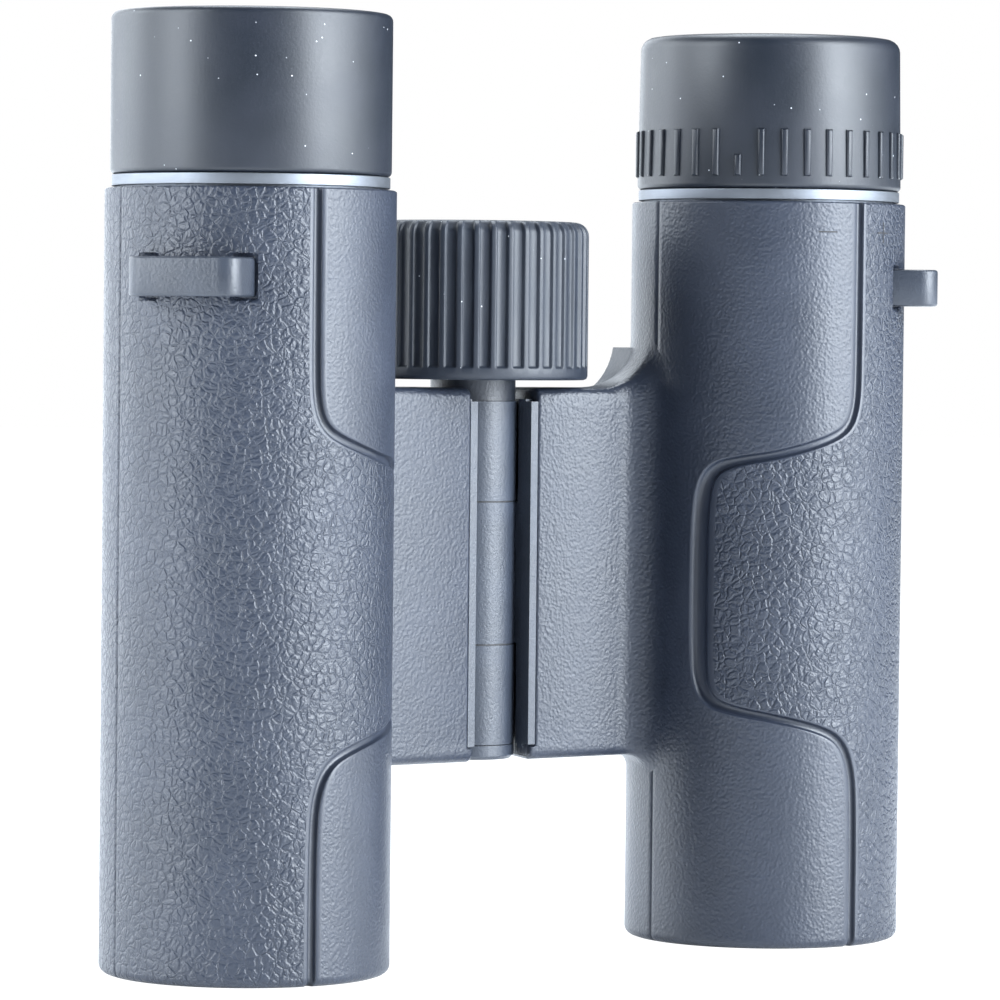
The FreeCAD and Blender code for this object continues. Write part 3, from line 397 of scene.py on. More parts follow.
def skin_sheet():
    """The barrel's skin laid out flat: for each row and column its arc, height and depth."""
    front = np.array(CHANNEL)
    front[0, 1] = armour_top / MM
    back = front.copy()
    back[:, 0] = np.minimum(-front[:, 0], FURTHEST_ON_TOP)
    back[:, 2] = np.minimum(front[:, 2], WIDEST_ON_TOP)
    front, back = rounded(front), rounded(back)
    steps = stations(front)
    line, half, across = edges_of_channel(front, steps)
    line_back, half_back, across_back = edges_of_channel(back, steps)
    front_band = [line + across * (half * share)[:, None] for share, _ in SECTION[::-1]]
    back_band = [line_back + across_back * (half_back * share)[:, None] for share, _ in SECTION[::-1]]
    seam = np.stack((np.full(len(line), math.radians(SEAM_ANGLE) * BARREL), line[:, 1]), 1)
    far_seam = seam + (math.tau * BARREL, 0)
    if front_band[0][0, 0] > front_band[-1][0, 0]:
        front_band.reverse()
    if back_band[0][0, 0] > back_band[-1][0, 0]:
        back_band.reverse()
    depths = [depth * MM for _, depth in SECTION]
    outer = np.stack((np.full(len(line), math.radians(OUTER_PARTING) * BARREL), line[:, 1]), 1)

    def between(start, end, count, kind):
        shares = np.linspace(0, 1, count + 1, endpoint=False)[1:]
        return [(start * (1 - share) + end * share, 0.0, kind) for share in shares]

    def parting(middle, wanted, kind):
        return [(middle + (across * MM, 0), depth * MM, kind)
                for across, depth in PARTING if wanted(across)]

    columns = parting(seam, lambda across: across >= 0, "pebble")
    columns += between(columns[-1][0], front_band[0], INNER_COLUMNS, "pebble")
    columns += [(place, depth, "channel") for place, depth in zip(front_band, depths)]
    line_columns = parting(outer, lambda across: True, "leather")
    columns += between(front_band[-1], line_columns[0][0], PANEL_COLUMNS[0], "leather")
    columns += line_columns
    columns += between(line_columns[-1][0], back_band[0], PANEL_COLUMNS[1], "leather")
    columns += [(place, depth, "channel") for place, depth in zip(back_band, depths)]
    last = parting(far_seam, lambda across: across <= 0, "pebble")
    columns += between(back_band[-1], last[0][0], INNER_COLUMNS, "pebble")
    return columns + last


def on_barrel(word, arc, height, radius):
    """Rolls a place on the flat skin round its barrel."""
    axis = barrel_axis[word]
    turn = arc / BARREL + TWIST[word]
    return Vector((axis.x + SIDES[word] * radius * math.cos(turn), axis.y + radius * math.sin(turn),
                   height))


def pull_ring(bm, ring, word, radius, height):
    """Extrudes a ring of edges and sets the new ring to another radius and height."""
    new = bmesh.ops.extrude_edge_only(bm, edges=ring)["geom"]
    axis = barrel_axis[word]
    for vert in (item for item in new if isinstance(item, bmesh.types.BMVert)):
        out = Vector((vert.co.x - axis.x, vert.co.y - axis.y, 0)).normalized() * radius
        vert.co = Vector((axis.x, axis.y, height)) + out
    return [item for item in new if isinstance(item, bmesh.types.BMEdge)]


def barrel_skin(word, kinds):
    columns = skin_sheet()
    rows = len(columns[0][0])
    bm = bmesh.new()
    across, up = len(columns) - 1, rows - 1
    bmesh.ops.create_grid(bm, x_segments=across, y_segments=up, size=1.0)
    grid = {}
    for vert in bm.verts:
        column = round((vert.co.x + 1) / 2 * across)
        row = round((vert.co.y + 1) / 2 * up)
        grid[vert] = (column, row)
    for face in bm.faces:
        inside = sum(grid[vert][0] for vert in face.verts) / 4
        face.material_index = kinds.index(columns[int(inside)][2])
        if columns[math.ceil(inside)][2] != columns[int(inside)][2]:
            face.material_index = kinds.index("channel")
    for vert, (column, row) in grid.items():
        place, depth, _ = columns[column]
        arc, height = place[row]
        pulled = max(depth, float(well_depth(arc, height))) + float(edge_round(height))
        vert.co = on_barrel(word, arc, height, BARREL - pulled)
    bmesh.ops.remove_doubles(bm, verts=bm.verts, dist=SAME_PLACE)
    rims = [edge for edge in bm.edges if edge.is_boundary]
    top = [edge for edge in rims if edge.verts[0].co.z > armour_top / 2]
    foot = [edge for edge in rims if edge.verts[0].co.z < armour_top / 2]
    top = pull_ring(bm, top, word, BARREL - WALL, armour_top)
    top = pull_ring(bm, top, word, BARREL - WALL, UNDERFOOT_LIP_HEIGHT)
    foot = pull_ring(bm, foot, word, UNDERFOOT_LIP + UNDERFOOT_SOFT, 0)
    foot = pull_ring(bm, foot, word, UNDERFOOT_LIP, UNDERFOOT_SOFT)
    foot = pull_ring(bm, foot, word, UNDERFOOT_LIP, UNDERFOOT_LIP_HEIGHT)
    bmesh.ops.bridge_loops(bm, edges=top + foot)
    bmesh.ops.recalc_face_normals(bm, faces=bm.faces)
    return bm


# The bridge's half: it runs from the hinge slot to the barrel and spreads on to it in a hollow
# curve, which is a ball rolled along the corner: large at the eyepiece side, small at the other.
BRIDGE_LOW = 21.63 * MM
BRIDGE_HIGH = 64.25 * MM
BRIDGE_FACE = hinge_axis.y - 6.52 * MM
BRIDGE_ROOF = hinge_axis.y + 3.2 * MM
BRIDGE_ROUND = 1.1 * MM
SLOT_EDGE = 4.7 * MM
SLOT_END_EDGE = 4.05 * MM  # below the slot the rubber comes nearer to the hinge
SLOT_STEP = (23.1 * MM, 23.2 * MM)
EDGE_SOFT = 0.35 * MM
EDGE_MIDDLE = EDGE_SOFT * 0.3
COVER_SIDE = 7.1 * MM
LEAN_FROM = 1.3 * MM  # above the underside, the arm's edge leans out to the hinge cover
HOLLOWS = {"under": 4.0 * MM, "high": 6.0 * MM, "roof": 4.0 * MM, "low": 2.0 * MM}
HOLLOW_STEPS = 9
LOOP_STEP = 1.6 * MM
CORNER_STEPS = 7
BURIED = 0.5 * MM  # how deep the end of the hollow is let into the barrel


def bridge_loop():
    """Round the arm: the place (y, z), the way out of the surface and the hollow's radius."""
    names = ("under", "high", "roof", "low")
    corners = ((BRIDGE_FACE, BRIDGE_HIGH), (BRIDGE_ROOF, BRIDGE_HIGH), (BRIDGE_ROOF, BRIDGE_LOW),
               (BRIDGE_FACE, BRIDGE_LOW))
    ways = ((-1, 0), (0, 1), (1, 0), (0, -1))
    middles = [Vector((y + BRIDGE_ROUND * (1 if y < hinge_axis.y else -1),
                       z + BRIDGE_ROUND * (1 if z == BRIDGE_LOW else -1))) for y, z in corners]
    loop = []
    for side, name in enumerate(names):
        start, end = middles[side - 1], middles[side]
        out = Vector(ways[side])
        steps = round((end - start).length / LOOP_STEP)
        shares = [step / steps for step in range(steps)]
        if name in ("under", "roof"):
            shares += [(height - start.y) / (end.y - start.y) for height in SLOT_STEP]
        for share in sorted(shares):
            loop.append((start.lerp(end, share) + out * BRIDGE_ROUND, out, HOLLOWS[name]))
        after = Vector(ways[(side + 1) % 4])
        reach = HOLLOWS[names[(side + 1) % 4]]
        for step in range(CORNER_STEPS):
            share = step / CORNER_STEPS
            way = out * math.cos(share * math.pi / 2) + after * math.sin(share * math.pi / 2)
            radius = HOLLOWS[name] + (reach - HOLLOWS[name]) * float(smoothstep(share))
            loop.append((end + way * BRIDGE_ROUND, way, radius))
    return loop


def join(bm, part):
    """Adds one bmesh to another."""
    mesh = bpy.data.meshes.new("joined")
    part.to_mesh(mesh)
    part.free()
    bm.from_mesh(mesh)
    bpy.data.meshes.remove(mesh)


def bridge_half(word, bm, kind):
    axis = barrel_axis[word]
    spacing = abs(axis.x)
    loop = bridge_loop()
    rings = []
    for inset, back in ((EDGE_SOFT, 0), (EDGE_MIDDLE, EDGE_MIDDLE), (0, EDGE_SOFT)):
        rings.append([])
        for place, way, _ in loop:
            lean = max(0.0, place.x - BRIDGE_FACE - LEAN_FROM) / (BRIDGE_ROOF - BRIDGE_FACE)
            spot = place - way * inset
            edge = SLOT_END_EDGE if place.y < sum(SLOT_STEP) / 2 else SLOT_EDGE
            rings[-1].append(Vector((edge + lean * (COVER_SIDE - edge) + back, *spot)))
    for step in range(HOLLOW_STEPS + 1):
        rings.append([])
        for place, way, radius in loop:
            ball = Vector((0, *(place + way * radius)))
            ball.x = spacing - math.sqrt((BARREL + radius) ** 2 - (ball.y - axis.y) ** 2)
            first = Vector((0, -way.x, -way.y))
            last = Vector((spacing - ball.x, axis.y - ball.y, 0)).normalized()
            turn = first.angle(last)
            share = step / HOLLOW_STEPS
            way_now = first * math.sin((1 - share) * turn) + last * math.sin(share * turn)
            rings[-1].append(ball + way_now * (radius / math.sin(turn)))
    rings.append([])
    for spot in rings[-2]:
        inwards = Vector((spacing - spot.x, axis.y - spot.y, 0)).normalized()
        rings[-1].append(spot + inwards * BURIED)
    part = bmesh.new()
    last_verts = [part.verts.new(spot) for spot in rings[0]]
    edges = [part.edges.new((vert, last_verts[index - 1])) for index, vert in enumerate(last_verts)]
    bmesh.ops.contextual_create(part, geom=edges)
    for ring in rings[1:]:
        made = bmesh.ops.extrude_edge_only(part, edges=edges)["geom"]
        fresh = [item for item in made if isinstance(item, bmesh.types.BMVert)]
        paired = {}
        for vert in fresh:
            for edge in vert.link_edges:
                other = edge.other_vert(vert)
                if other not in fresh:
                    paired[other] = vert
        last_verts = [paired[vert] for vert in last_verts]
        for vert, spot in zip(last_verts, ring):
            vert.co = spot
        edges = [part.edges.get((vert, last_verts[index - 1]))
                 for index, vert in enumerate(last_verts)]
    bmesh.ops.contextual_create(part, geom=edges)
    if SIDES[word] < 0:
        bmesh.ops.scale(part, verts=part.verts, vec=(-1, 1, 1))
    bmesh.ops.recalc_face_normals(part, faces=part.faces)
    for face in part.faces:
        face.material_index = kind
    join(bm, part)


# The dioptre marks, a minus and a plus: thin dull strokes that stand just proud of the rubber.
MARK_HEIGHT = 82.5 * MM
MARK_STROKE = 0.15 * MM
MARK_REACH = 1.2 * MM
MARK_PROUD = 0.035 * MM
MARK_ROOT = 0.2 * MM
MARKS = ((-102.9, (True, False)), (-72.2, (True, True)))  # degrees; a level, an upright stroke


def dioptre_marks(word, bm, kind):
    for angle, strokes in MARKS:
        middle = math.radians(angle) * BARREL
        for level, wanted in zip((True, False), strokes):
            if not wanted:
                continue
            stroke = bmesh.new()
            bmesh.ops.create_grid(stroke, x_segments=8, y_segments=1, size=1.0)
            bmesh.ops.solidify(stroke, geom=stroke.faces, thickness=1.0)
            for vert in stroke.verts:
                along = vert.co.x * MARK_REACH
                beside = vert.co.y * MARK_STROKE / 2
                arc, rise = (along, beside) if level else (beside, along)
                radius = BARREL + (MARK_PROUD if vert.co.z > -0.5 else -MARK_ROOT)
                vert.co = on_barrel(word, middle + arc, MARK_HEIGHT + rise, radius)
            bmesh.ops.recalc_face_normals(stroke, faces=stroke.faces)
            for face in stroke.faces:
                face.material_index = kind
            join(bm, stroke)


RUBBER = (0.015, 0.020, 0.033)
RUBBER_WORN = (0.022, 0.028, 0.044)
PEBBLE, PEBBLE_FINE, PEBBLE_DEPTH = 0.36 * MM, 0.26 * MM, 0.075 * MM
LEATHER, LEATHER_SMALL, LEATHER_FINE = 1.05 * MM, 0.50 * MM, 0.25 * MM
LEATHER_DEPTH = 0.125 * MM
LEATHER_WAVE, LEATHER_SHIFT = 1.6 * MM, 1.2 * MM  # how the grain's cells are bent out of shape
MOULD_SHINE_DEPTH = 0.012 * MM
DUST = (0.55, 0.57, 0.60)
DUST_SPACING = 1.5 * MM
HARD_CORNER = math.radians(48)


def pebble_rubber():
    finish = Finish("armour_pebble")
    place = finish.place()
    cloud = finish.noise(9 * MM, detail=3.0, at=place)
    pores = finish.cells(PEBBLE, place, "SMOOTH_F1")
    fine = finish.noise(PEBBLE_FINE, at=place)
    relief = pores * 0.75 + fine * 0.40
    finish.set(
        Base_Color=finish.blend(cloud.within(0.30, 0.80), RUBBER, RUBBER_WORN),
        Roughness=0.41 + (cloud - 0.5) * 0.10 + (fine - 0.5) * 0.16,
        Normal=finish.bump(relief, PEBBLE_DEPTH),
    )
    return finish


def leather_rubber():
    finish = Finish("armour_leather")
    place = finish.place()
    cloud = finish.noise(12 * MM, detail=3.0, at=place)
    bend = finish.node("ShaderNodeTexNoise", None,
                       {"Vector": place, "Scale": 1 / LEATHER_WAVE, "Detail": 3.0}, "Color")
    shift = finish.node("ShaderNodeVectorMath", {"operation": "SCALE"},
                        {"Vector": bend, "Scale": LEATHER_SHIFT})
    bent = finish.node("ShaderNodeVectorMath", {"operation": "ADD"}, [place, shift])
    crease = finish.cells(LEATHER, bent, "DISTANCE_TO_EDGE").within(0.0, 0.20)
    small = finish.cells(LEATHER_SMALL, bent, "DISTANCE_TO_EDGE").within(0.0, 0.30)
    swell = finish.noise(2.6 * MM, detail=1.0, at=place)
    fine = finish.noise(LEATHER_FINE, at=place)
    relief = crease * (swell * 0.6 + 0.25) + small * 0.18 + fine * 0.15
    finish.set(
        Base_Color=finish.blend(cloud.within(0.30, 0.80), RUBBER, RUBBER_WORN),
        Roughness=0.46 - crease * 0.10 + (cloud - 0.5) * 0.10 + (fine - 0.5) * 0.12,
        Normal=finish.bump(relief, LEATHER_DEPTH),
    )
    return finish


def smooth_rubber(name, colour, worn, roughness, lint=0.0):
    """Plain moulded rubber; lint is how much of it is specked with pale dust."""
    finish = Finish(name)
    place = finish.place()
    cloud = finish.noise(7 * MM, detail=4.0, at=place)
    fine = finish.noise(0.3 * MM, detail=3.0, at=place)
    shade = finish.blend(cloud.within(0.30, 0.80), colour, worn)
    rough = roughness + (cloud - 0.5) * 0.14 + (fine - 0.5) * 0.12
    if lint:
        speck = 1 - finish.cells(DUST_SPACING, place).within(0.03, 0.07)
        chosen = finish.noise(3.1 * MM, at=place).within(0.60 - lint, 0.62 - lint)
        dust = speck * chosen
        shade = finish.blend(dust, shade, DUST)
        rough = rough + dust * 0.3
    finish.set(Base_Color=shade, Roughness=rough, Normal=finish.bump(fine, MOULD_SHINE_DEPTH))
    return finish


def piece(name, bm, body, finish):
    """Makes a finished bmesh a piece that rides on a body; only its sharp corners stay hard."""
    mesh = bpy.data.meshes.new(name)
    bm.to_mesh(mesh)
    bm.free()
    mesh.shade_smooth()
    mesh.set_sharp_from_angle(angle=HARD_CORNER)
    thing = bpy.data.objects.new(name, mesh)
    scene.collection.objects.link(thing)
    mesh.materials.append(finish.material)
    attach(thing, body)
    return thing


ARMOUR_KINDS = ["pebble", "channel", "leather", "mark"]
armour_finishes = [
    pebble_rubber(),
    smooth_rubber("armour_channel", RUBBER, RUBBER_WORN, 0.38),
    leather_rubber(),
    smooth_rubber("armour_mark", (0.004, 0.004, 0.006), (0.006, 0.006, 0.008), 0.7),
]
BODY = {"left": "root", "right": "right_barrel"}
for word in SIDES:
    bm = barrel_skin(word, ARMOUR_KINDS)
    bridge_half(word, bm, ARMOUR_KINDS.index("pebble"))
    if word == "right":
        dioptre_marks(word, bm, ARMOUR_KINDS.index("mark"))
    armour = piece(f"{word}_rubber_armour", bm, BODY[word], armour_finishes[0])
    for finish in armour_finishes[1:]:
        armour.data.materials.append(finish.material)
    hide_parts(f"{word}_armour")

# ---------------------------------------------------------------------------------------------
# Strap lugs: a straight plastic staple on each barrel, let in through the armour and held by the
# housing, for a neck or wrist strap.
LUG_TIP = 19.7 * MM
LUG_BAR = 1.6 * MM
LUG_HALF = 6.5 * MM
LUG_LEG = 1.8 * MM
LUG_START = 13.95 * MM
LUG_ROUND = 2.1 * MM
LUG_INNER_ROUND = 0.5 * MM
LUG_SOFT = 0.32 * MM
lug_plastic = moulded_plastic("lug_plastic", (0.022, 0.027, 0.038), 0.38)


def round_corners(bm, spots, size, segments=4):
    """Rounds the corners of a flat outline that lie nearest to the spots."""
    for spot in spots:
        corner = min(bm.verts, key=lambda vert: (vert.co - Vector(spot)).length)
        bmesh.ops.bevel(bm, geom=[corner], offset=size, offset_type="OFFSET", segments=segments,
                        profile=0.5, affect="VERTICES", material=-1, clamp_overlap=True)


for word, side in SIDES.items():
    inner_half = LUG_HALF - LUG_LEG
    under_bar = LUG_TIP - LUG_BAR
    outline = ((LUG_START, -LUG_HALF), (LUG_TIP, -LUG_HALF), (LUG_TIP, LUG_HALF),
               (LUG_START, LUG_HALF), (LUG_START, inner_half), (under_bar, inner_half),
               (under_bar, -inner_half), (LUG_START, -inner_half))
    bm = bmesh.new()
    bm.faces.new([bm.verts.new((out, along, 0)) for out, along in outline])
    round_corners(bm, ((LUG_TIP, -LUG_HALF, 0), (LUG_TIP, LUG_HALF, 0)), LUG_ROUND, 8)
    round_corners(bm, ((under_bar, inner_half, 0), (under_bar, -inner_half, 0)), LUG_INNER_ROUND)
    raised = bmesh.ops.extrude_face_region(bm, geom=bm.faces[:])["geom"]
    bmesh.ops.translate(bm, vec=(0, 0, lug_high.z - lug_low.z),
                        verts=[item for item in raised if isinstance(item, bmesh.types.BMVert)])
    bmesh.ops.recalc_face_normals(bm, faces=bm.faces)
    rims = [edge for edge in bm.edges if abs(edge.verts[0].co.z - edge.verts[1].co.z) < SAME_PLACE]
    bmesh.ops.bevel(bm, geom=rims, offset=LUG_SOFT, offset_type="OFFSET", segments=3, profile=0.5,
                    affect="EDGES", material=-1, clamp_overlap=True)
    turn = math.radians(LUG_ANGLE) + TWIST[word]
    turn = turn if side > 0 else math.pi - turn
    bmesh.ops.rotate(bm, verts=bm.verts, cent=(0, 0, 0), matrix=Matrix.Rotation(turn, 3, "Z"))
    axis = barrel_axis[word]
    bmesh.ops.translate(bm, verts=bm.verts, vec=(axis.x, axis.y, lug_low.z))
    lug = piece(f"{word}_lug", bm, BODY[word], lug_plastic)
    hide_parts(f"{word}_strap_lug")

# ---------------------------------------------------------------------------------------------
# Trim rings: a thin satin aluminium ring between the armour and each eyecup, turned and anodised.
# It is pressed on to the housing and stands on a narrower foot, which leaves a dark line under it.
CLOSING_GAP = 0.0005 * MM
LATHE_MARKS = (30.0, 30.0, 900.0)  # noise drawn out thin round the axis and close up it
LATHE_SCALE = 14.0
LATHE_DEPTH = 0.006 * MM
LATHE_GLOSS = 0.18
DULL = 0.82


def turned(outline, centre, segments=128):
    """Spins a flat outline of (radius, height, rounding) corners about an upright line."""
    bm = bmesh.new()
    bm.faces.new([bm.verts.new((radius, 0, height)) for radius, height, _ in outline])
    for radius, height, rounding in outline:
        if rounding:
            round_corners(bm, ((radius, 0, height),), rounding, 5)
    bmesh.ops.delete(bm, geom=bm.faces[:], context="FACES_ONLY")
    bmesh.ops.spin(bm, geom=bm.edges[:], cent=(0, 0, 0), axis=(0, 0, 1), angle=math.tau,
                   steps=segments, use_merge=True)
    bmesh.ops.remove_doubles(bm, verts=bm.verts, dist=CLOSING_GAP)
    bmesh.ops.recalc_face_normals(bm, faces=bm.faces)
    bmesh.ops.translate(bm, verts=bm.verts, vec=(centre.x, centre.y, 0))
    return bm


def turned_metal(name, colour, roughness):
    """Metal turned on a lathe: fine rings round the upright axis, and cloudy gloss."""
    finish = Finish(name, Metallic=1.0)
    place = finish.place()
    cloud = finish.noise(5 * MM, detail=3.0, at=place)
    stretched = finish.node("ShaderNodeVectorMath", {"operation": "MULTIPLY"},
                            [place, LATHE_MARKS])
    rings = finish.node("ShaderNodeTexNoise", None,
                        {"Vector": stretched, "Scale": LATHE_SCALE, "Detail": 3.0})
    dull = tuple(part * DULL for part in colour)
    finish.set(
        Base_Color=finish.blend(cloud.within(0.3, 0.8), colour, dull),
        Roughness=roughness + (rings - 0.5) * LATHE_GLOSS + (cloud - 0.5) * 0.1,
        Normal=finish.bump(rings, LATHE_DEPTH),
    )
    return finish


trim_metal = turned_metal("trim_aluminium", (0.185, 0.20, 0.225), 0.52)
trim_low, trim_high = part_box("left_trim_ring")
TRIM_STEP = 0.7 * MM
TRIM_GAP = 0.2 * MM
TRIM_BORE = 12.5 * MM
TRIM_ROUND = 0.12 * MM
trim_outer = (trim_high.x - trim_low.x) / 2
trim_foot = trim_outer - TRIM_STEP
for word in SIDES:
    bm = turned((
        (TRIM_BORE, trim_low.z, 0), (trim_foot, trim_low.z, 0),
        (trim_foot, trim_low.z + TRIM_GAP, 0), (trim_outer, trim_low.z + TRIM_GAP, TRIM_ROUND),
        (trim_outer, trim_high.z, TRIM_ROUND), (TRIM_BORE, trim_high.z, 0)), barrel_axis[word])
    ring = piece(f"{word}_trim", bm, BODY[word], trim_metal)
    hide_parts(f"{word}_trim_ring")

# ---------------------------------------------------------------------------------------------
# Eyecups: thick soft rubber sleeves that roll back on themselves, pressed over a hard ring. The
# right one turns for the dioptre setting, so a row of grip ribs is moulded round its foot.
cup_low, cup_top = (corner.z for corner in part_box("left_eyecup"))
CUP_RADIUS = {"left": (15.41 * MM, 15.41 * MM), "right": (15.42 * MM, 15.15 * MM)}
LIP_ROUND = {"left": 0.75 * MM, "right": 1.5 * MM}
CUP_WALL = 1.7 * MM
CUP_LIP_SLOPE = 0.4 * MM  # the wall is a little thicker at the lip
CUP_ROUNDS = {"foot": 0.55 * MM, "lip": 0.35 * MM, "floor": 0.8 * MM, "flange": 0.3 * MM}
CUP_FLOOR = 94.8 * MM
FLANGE_LOW = 93.4 * MM
FLANGE_INSIDE = 11.95 * MM
HARD_RING = 13.5 * MM
RIB_LOW = 88.85 * MM
RIB_HIGH = 94.25 * MM
RIB_HALF = 0.40 * MM
RIB_PROUD = 0.33 * MM
RIB_ROOT = 0.5 * MM
RIB_SOFT = 0.26 * MM
RIB_SUNK = 0.05 * MM
RIB_COUNT = 36
CUP_SEGMENTS = 160
INDEX_ANGLE = -141.8  # the one short rib, which points at the marks
INDEX_HIGH = 91.3 * MM
eyecup_rubber = smooth_rubber("eyecup_rubber", (0.004, 0.007, 0.013), (0.007, 0.010, 0.018), 0.43,
                              lint=0.12)


def rib(high, angle, centre, foot):
    """One upright rib with soft edges, at an angle round the eyecup."""
    bm = bmesh.new()
    bmesh.ops.create_cube(bm, size=1.0)
    depth = RIB_PROUD + RIB_ROOT
    bmesh.ops.scale(bm, verts=bm.verts, vec=(depth, 2 * RIB_HALF, high - RIB_LOW))
    bmesh.ops.bevel(bm, geom=[edge for edge in bm.edges if min(v.co.x for v in edge.verts) > 0],
                    offset=RIB_SOFT, offset_type="OFFSET", segments=3, profile=0.5,
                    affect="EDGES", material=-1, clamp_overlap=True)
    bmesh.ops.translate(bm, verts=bm.verts,
                        vec=(foot + RIB_PROUD - depth / 2, 0, (high + RIB_LOW) / 2))
    bmesh.ops.rotate(bm, verts=bm.verts, cent=(0, 0, 0),
                     matrix=Matrix.Rotation(math.radians(angle), 3, "Z"))
    bmesh.ops.translate(bm, verts=bm.verts, vec=(centre.x, centre.y, 0))
    return bm


for word in SIDES:
    foot, mouth = CUP_RADIUS[word]
    inside = mouth - CUP_WALL
    bm = turned((
        (HARD_RING, cup_low, 0), (foot, cup_low, CUP_ROUNDS["foot"]),
        (mouth, cup_top, LIP_ROUND[word]), (inside - CUP_LIP_SLOPE, cup_top, CUP_ROUNDS["lip"]),
        (inside, CUP_FLOOR, CUP_ROUNDS["floor"]), (FLANGE_INSIDE, CUP_FLOOR, CUP_ROUNDS["flange"]),
        (FLANGE_INSIDE, FLANGE_LOW, 0), (HARD_RING, FLANGE_LOW, 0)), barrel_axis[word], CUP_SEGMENTS)
    if word == "right":
        for number in range(RIB_COUNT):
            high = RIB_HIGH if number else INDEX_HIGH
            turn = INDEX_ANGLE + number * 360 / RIB_COUNT
            join(bm, rib(high, turn, barrel_axis[word], foot - RIB_SUNK))
    cup = piece(f"{word}_rubber_eyecup", bm, "dioptre_ring" if word == "right" else "root",
                eyecup_rubber)
    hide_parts(f"{word}_eyecup")

# ---------------------------------------------------------------------------------------------
# Focus wheel: a plastic hub with a neck into the hinge, a screw and a pressed-in cap, and a thick
# rubber tyre with narrow ribs between wide flat grooves that stop above a plain band.
grip_low, grip_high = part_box("wheel_grip")
WHEEL = (grip_high.x - grip_low.x) / 2
WHEEL_LOW = grip_low.z
WHEEL_HIGH = grip_high.z
WHEEL_RIBS = 42
RIB_ANGLE = -157.9  # a rib's middle, in degrees round the wheel
GROOVE_DEPTH = 0.34 * MM
# Across one rib and the groove after it: arc in mm and share of the groove's depth.
GROOVE_SECTION = ((-0.20, 0.0), (0.0, 0.0), (0.20, 0.0), (0.28, 0.14), (0.35, 0.80), (0.42, 1.0),
                  (0.92, 1.0), (1.38, 1.0), (1.47, 0.84), (1.60, 0.18), (1.68, 0.03))
WHEEL_ROUND = 1.6 * MM
WHEEL_CORE = 11.4 * MM
WHEEL_LIP = 9.8 * MM
WHEEL_RIM = WHEEL_HIGH - 1.2 * MM
WHEEL_LIP_SOFT = 0.2 * MM
# Up the plain band: how far in and how high; then up the grooves: how high and how deep a share.
BAND_ROWS = ((0.45, 0.0), (0.14, 0.12), (0.0, 0.45), (0.0, 1.25))
GROOVE_ROWS = ((1.33, 0.10), (1.42, 0.38), (1.52, 0.76), (1.66, 1.0), (8.0, 1.0))
ROUND_STEPS = 8
grip_rubber = smooth_rubber("grip_rubber", (0.009, 0.013, 0.022), (0.014, 0.019, 0.030), 0.50,
                            lint=0.12)


def tyre_rows():
    """Up the tyre and over its round edge: radius, height, way in (r, z), share of the groove."""
    inwards, down = (-1.0, 0.0), (0.0, -1.0)
    rows = [(WHEEL - inset * MM, WHEEL_LOW + rise * MM, inwards, 0.0) for inset, rise in BAND_ROWS]
    rows += [(WHEEL, WHEEL_LOW + rise * MM, inwards, share) for rise, share in GROOVE_ROWS]
    for step in range(ROUND_STEPS + 1):
        turn = step / ROUND_STEPS * math.pi / 2
        out, up = math.cos(turn), math.sin(turn)
        share = 1.0 - float(smoothstep((turn - 0.75) / 0.75))
        rows.append((WHEEL - WHEEL_ROUND * (1 - out), WHEEL_HIGH - WHEEL_ROUND * (1 - up),
                     (-out, -up), share))
    closing = ((WHEEL_LIP + WHEEL_LIP_SOFT, WHEEL_HIGH), (WHEEL_LIP, WHEEL_HIGH - WHEEL_LIP_SOFT),
               (WHEEL_LIP, WHEEL_RIM), (WHEEL_CORE, WHEEL_RIM), (WHEEL_CORE, WHEEL_LOW))
    return rows + [(radius, height, down, 0.0) for radius, height in closing]


rows = tyre_rows()
columns = []
pitch = math.tau / WHEEL_RIBS
for number in range(WHEEL_RIBS):
    start = math.radians(RIB_ANGLE) + number * pitch
    columns += [(start + arc * MM / WHEEL, share) for arc, share in GROOVE_SECTION]
bm = bmesh.new()
around, up = len(columns), len(rows)
bmesh.ops.create_grid(bm, x_segments=around, y_segments=up, size=1.0)
for vert in bm.verts:
    column = round((vert.co.x + 1) / 2 * around) % around
    row = round((vert.co.y + 1) / 2 * up) % up
    turn, depth = columns[column]
    radius, height, (in_radius, in_height), share = rows[row]
    sunk = GROOVE_DEPTH * depth * share
    radius += in_radius * sunk
    vert.co = (hinge_axis.x + radius * math.cos(turn), hinge_axis.y + radius * math.sin(turn),
               height + in_height * sunk)
bmesh.ops.remove_doubles(bm, verts=bm.verts, dist=CLOSING_GAP)
bmesh.ops.recalc_face_normals(bm, faces=bm.faces)
tyre = piece("focus_tyre", bm, "focus_wheel", grip_rubber)
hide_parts("wheel_grip")
wheel_plastic = moulded_plastic("wheel_plastic", (0.014, 0.017, 0.024), 0.40)
dress(wheel_plastic, "wheel_hub", "wheel_cap")

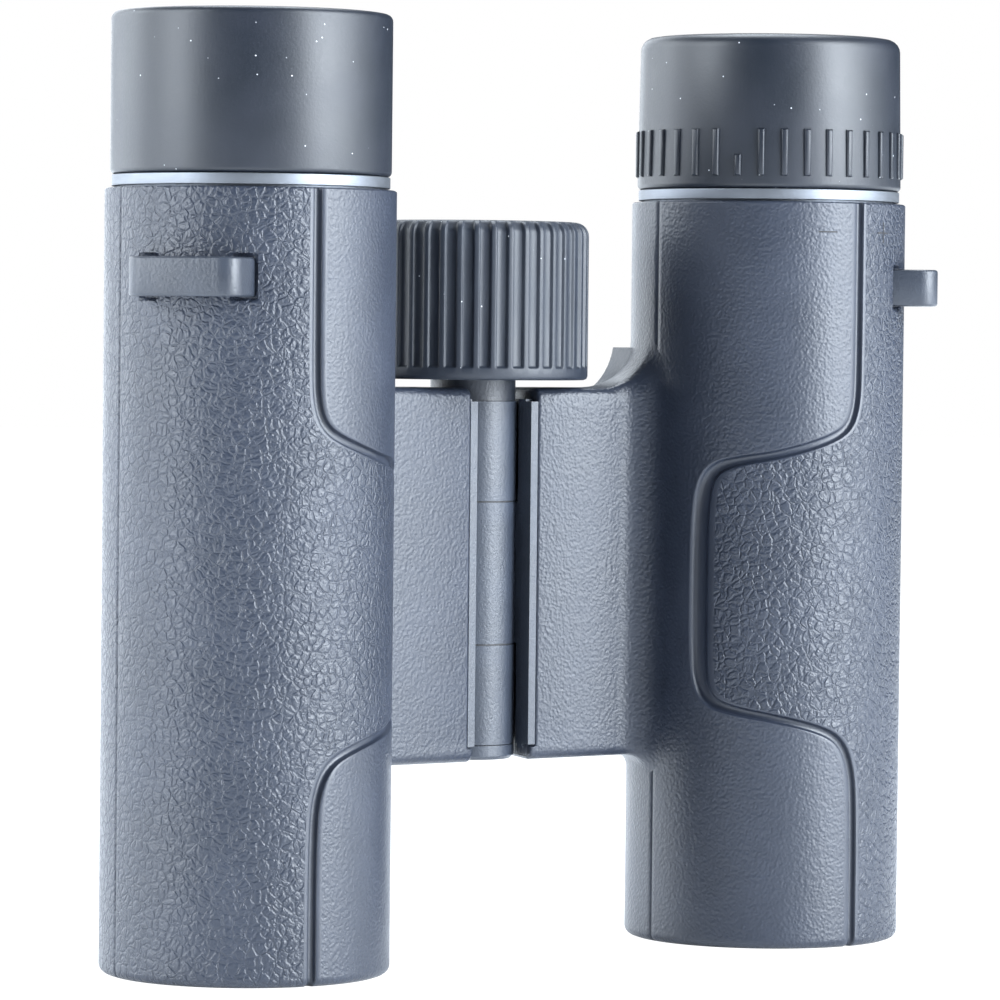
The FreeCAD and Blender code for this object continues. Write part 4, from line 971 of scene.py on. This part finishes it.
# ---------------------------------------------------------------------------------------------
# Hinge and focusing works: a steel tube through all knuckles, plastic friction washers, a brass
# carrier and bush, and a steel spindle and screw, all turned.
steel = turned_metal("turned_steel", (0.50, 0.50, 0.52), 0.30)
brass = turned_metal("turned_brass", (0.72, 0.54, 0.27), 0.32)
washer_plastic = moulded_plastic("washer_plastic", (0.008, 0.008, 0.010), 0.55)
dress(steel, "hinge_tube", "focus_spindle", "wheel_screw")
dress(brass, "focus_carrier", "focus_bush")
dress(washer_plastic, "friction_washers")

# ---------------------------------------------------------------------------------------------
# Optics: coated glass elements and prisms in black-anodised aluminium and black plastic mounts,
# sealed with a rubber ring.
black_alloy = turned_metal("black_anodised", (0.035, 0.035, 0.038), 0.42)
black_plastic = moulded_plastic("ring_plastic", (0.018, 0.018, 0.021), 0.50)
seal_rubber = smooth_rubber("seal_rubber", (0.016, 0.016, 0.017), (0.026, 0.026, 0.027), 0.40)


def coated_glass(name, tint, roughness):
    """Polished glass with a coloured coating that is a little uneven."""
    finish = Finish(name, Transmission_Weight=1.0, IOR=1.52, Coat_IOR=1.8, Coat_Roughness=0.03)
    cloud = finish.noise(8 * MM, detail=2.0)
    pale = tuple(1 - (1 - part) * 0.55 for part in tint)
    finish.set(
        Base_Color=finish.blend(cloud.within(0.3, 0.8), tint, pale),
        Roughness=roughness + (cloud - 0.5) * 0.01,
        Coat_Weight=0.35 + (cloud - 0.5) * 0.2,
    )
    return finish


lens_glass = coated_glass("lens_glass", (0.72, 0.86, 0.80), 0.015)
prism_glass = coated_glass("prism_glass", (0.90, 0.94, 0.95), 0.02)
dress(black_alloy, *each("objective_cell", "objective_retainer", "focus_cell", "focus_arm"))
dress(black_plastic, *each("eyepiece_tube", "eye_retainer", "prism_cage", "field_stop"),
      "left_cup_ring", "dioptre_ring")
dress(seal_rubber, *each("objective_seal"))
dress(lens_glass, *each("objective_front", "objective_rear", "focus_lens", "field_lens", "eye_lens"))
dress(prism_glass, *each("half_penta_prism", "roof_prism"))
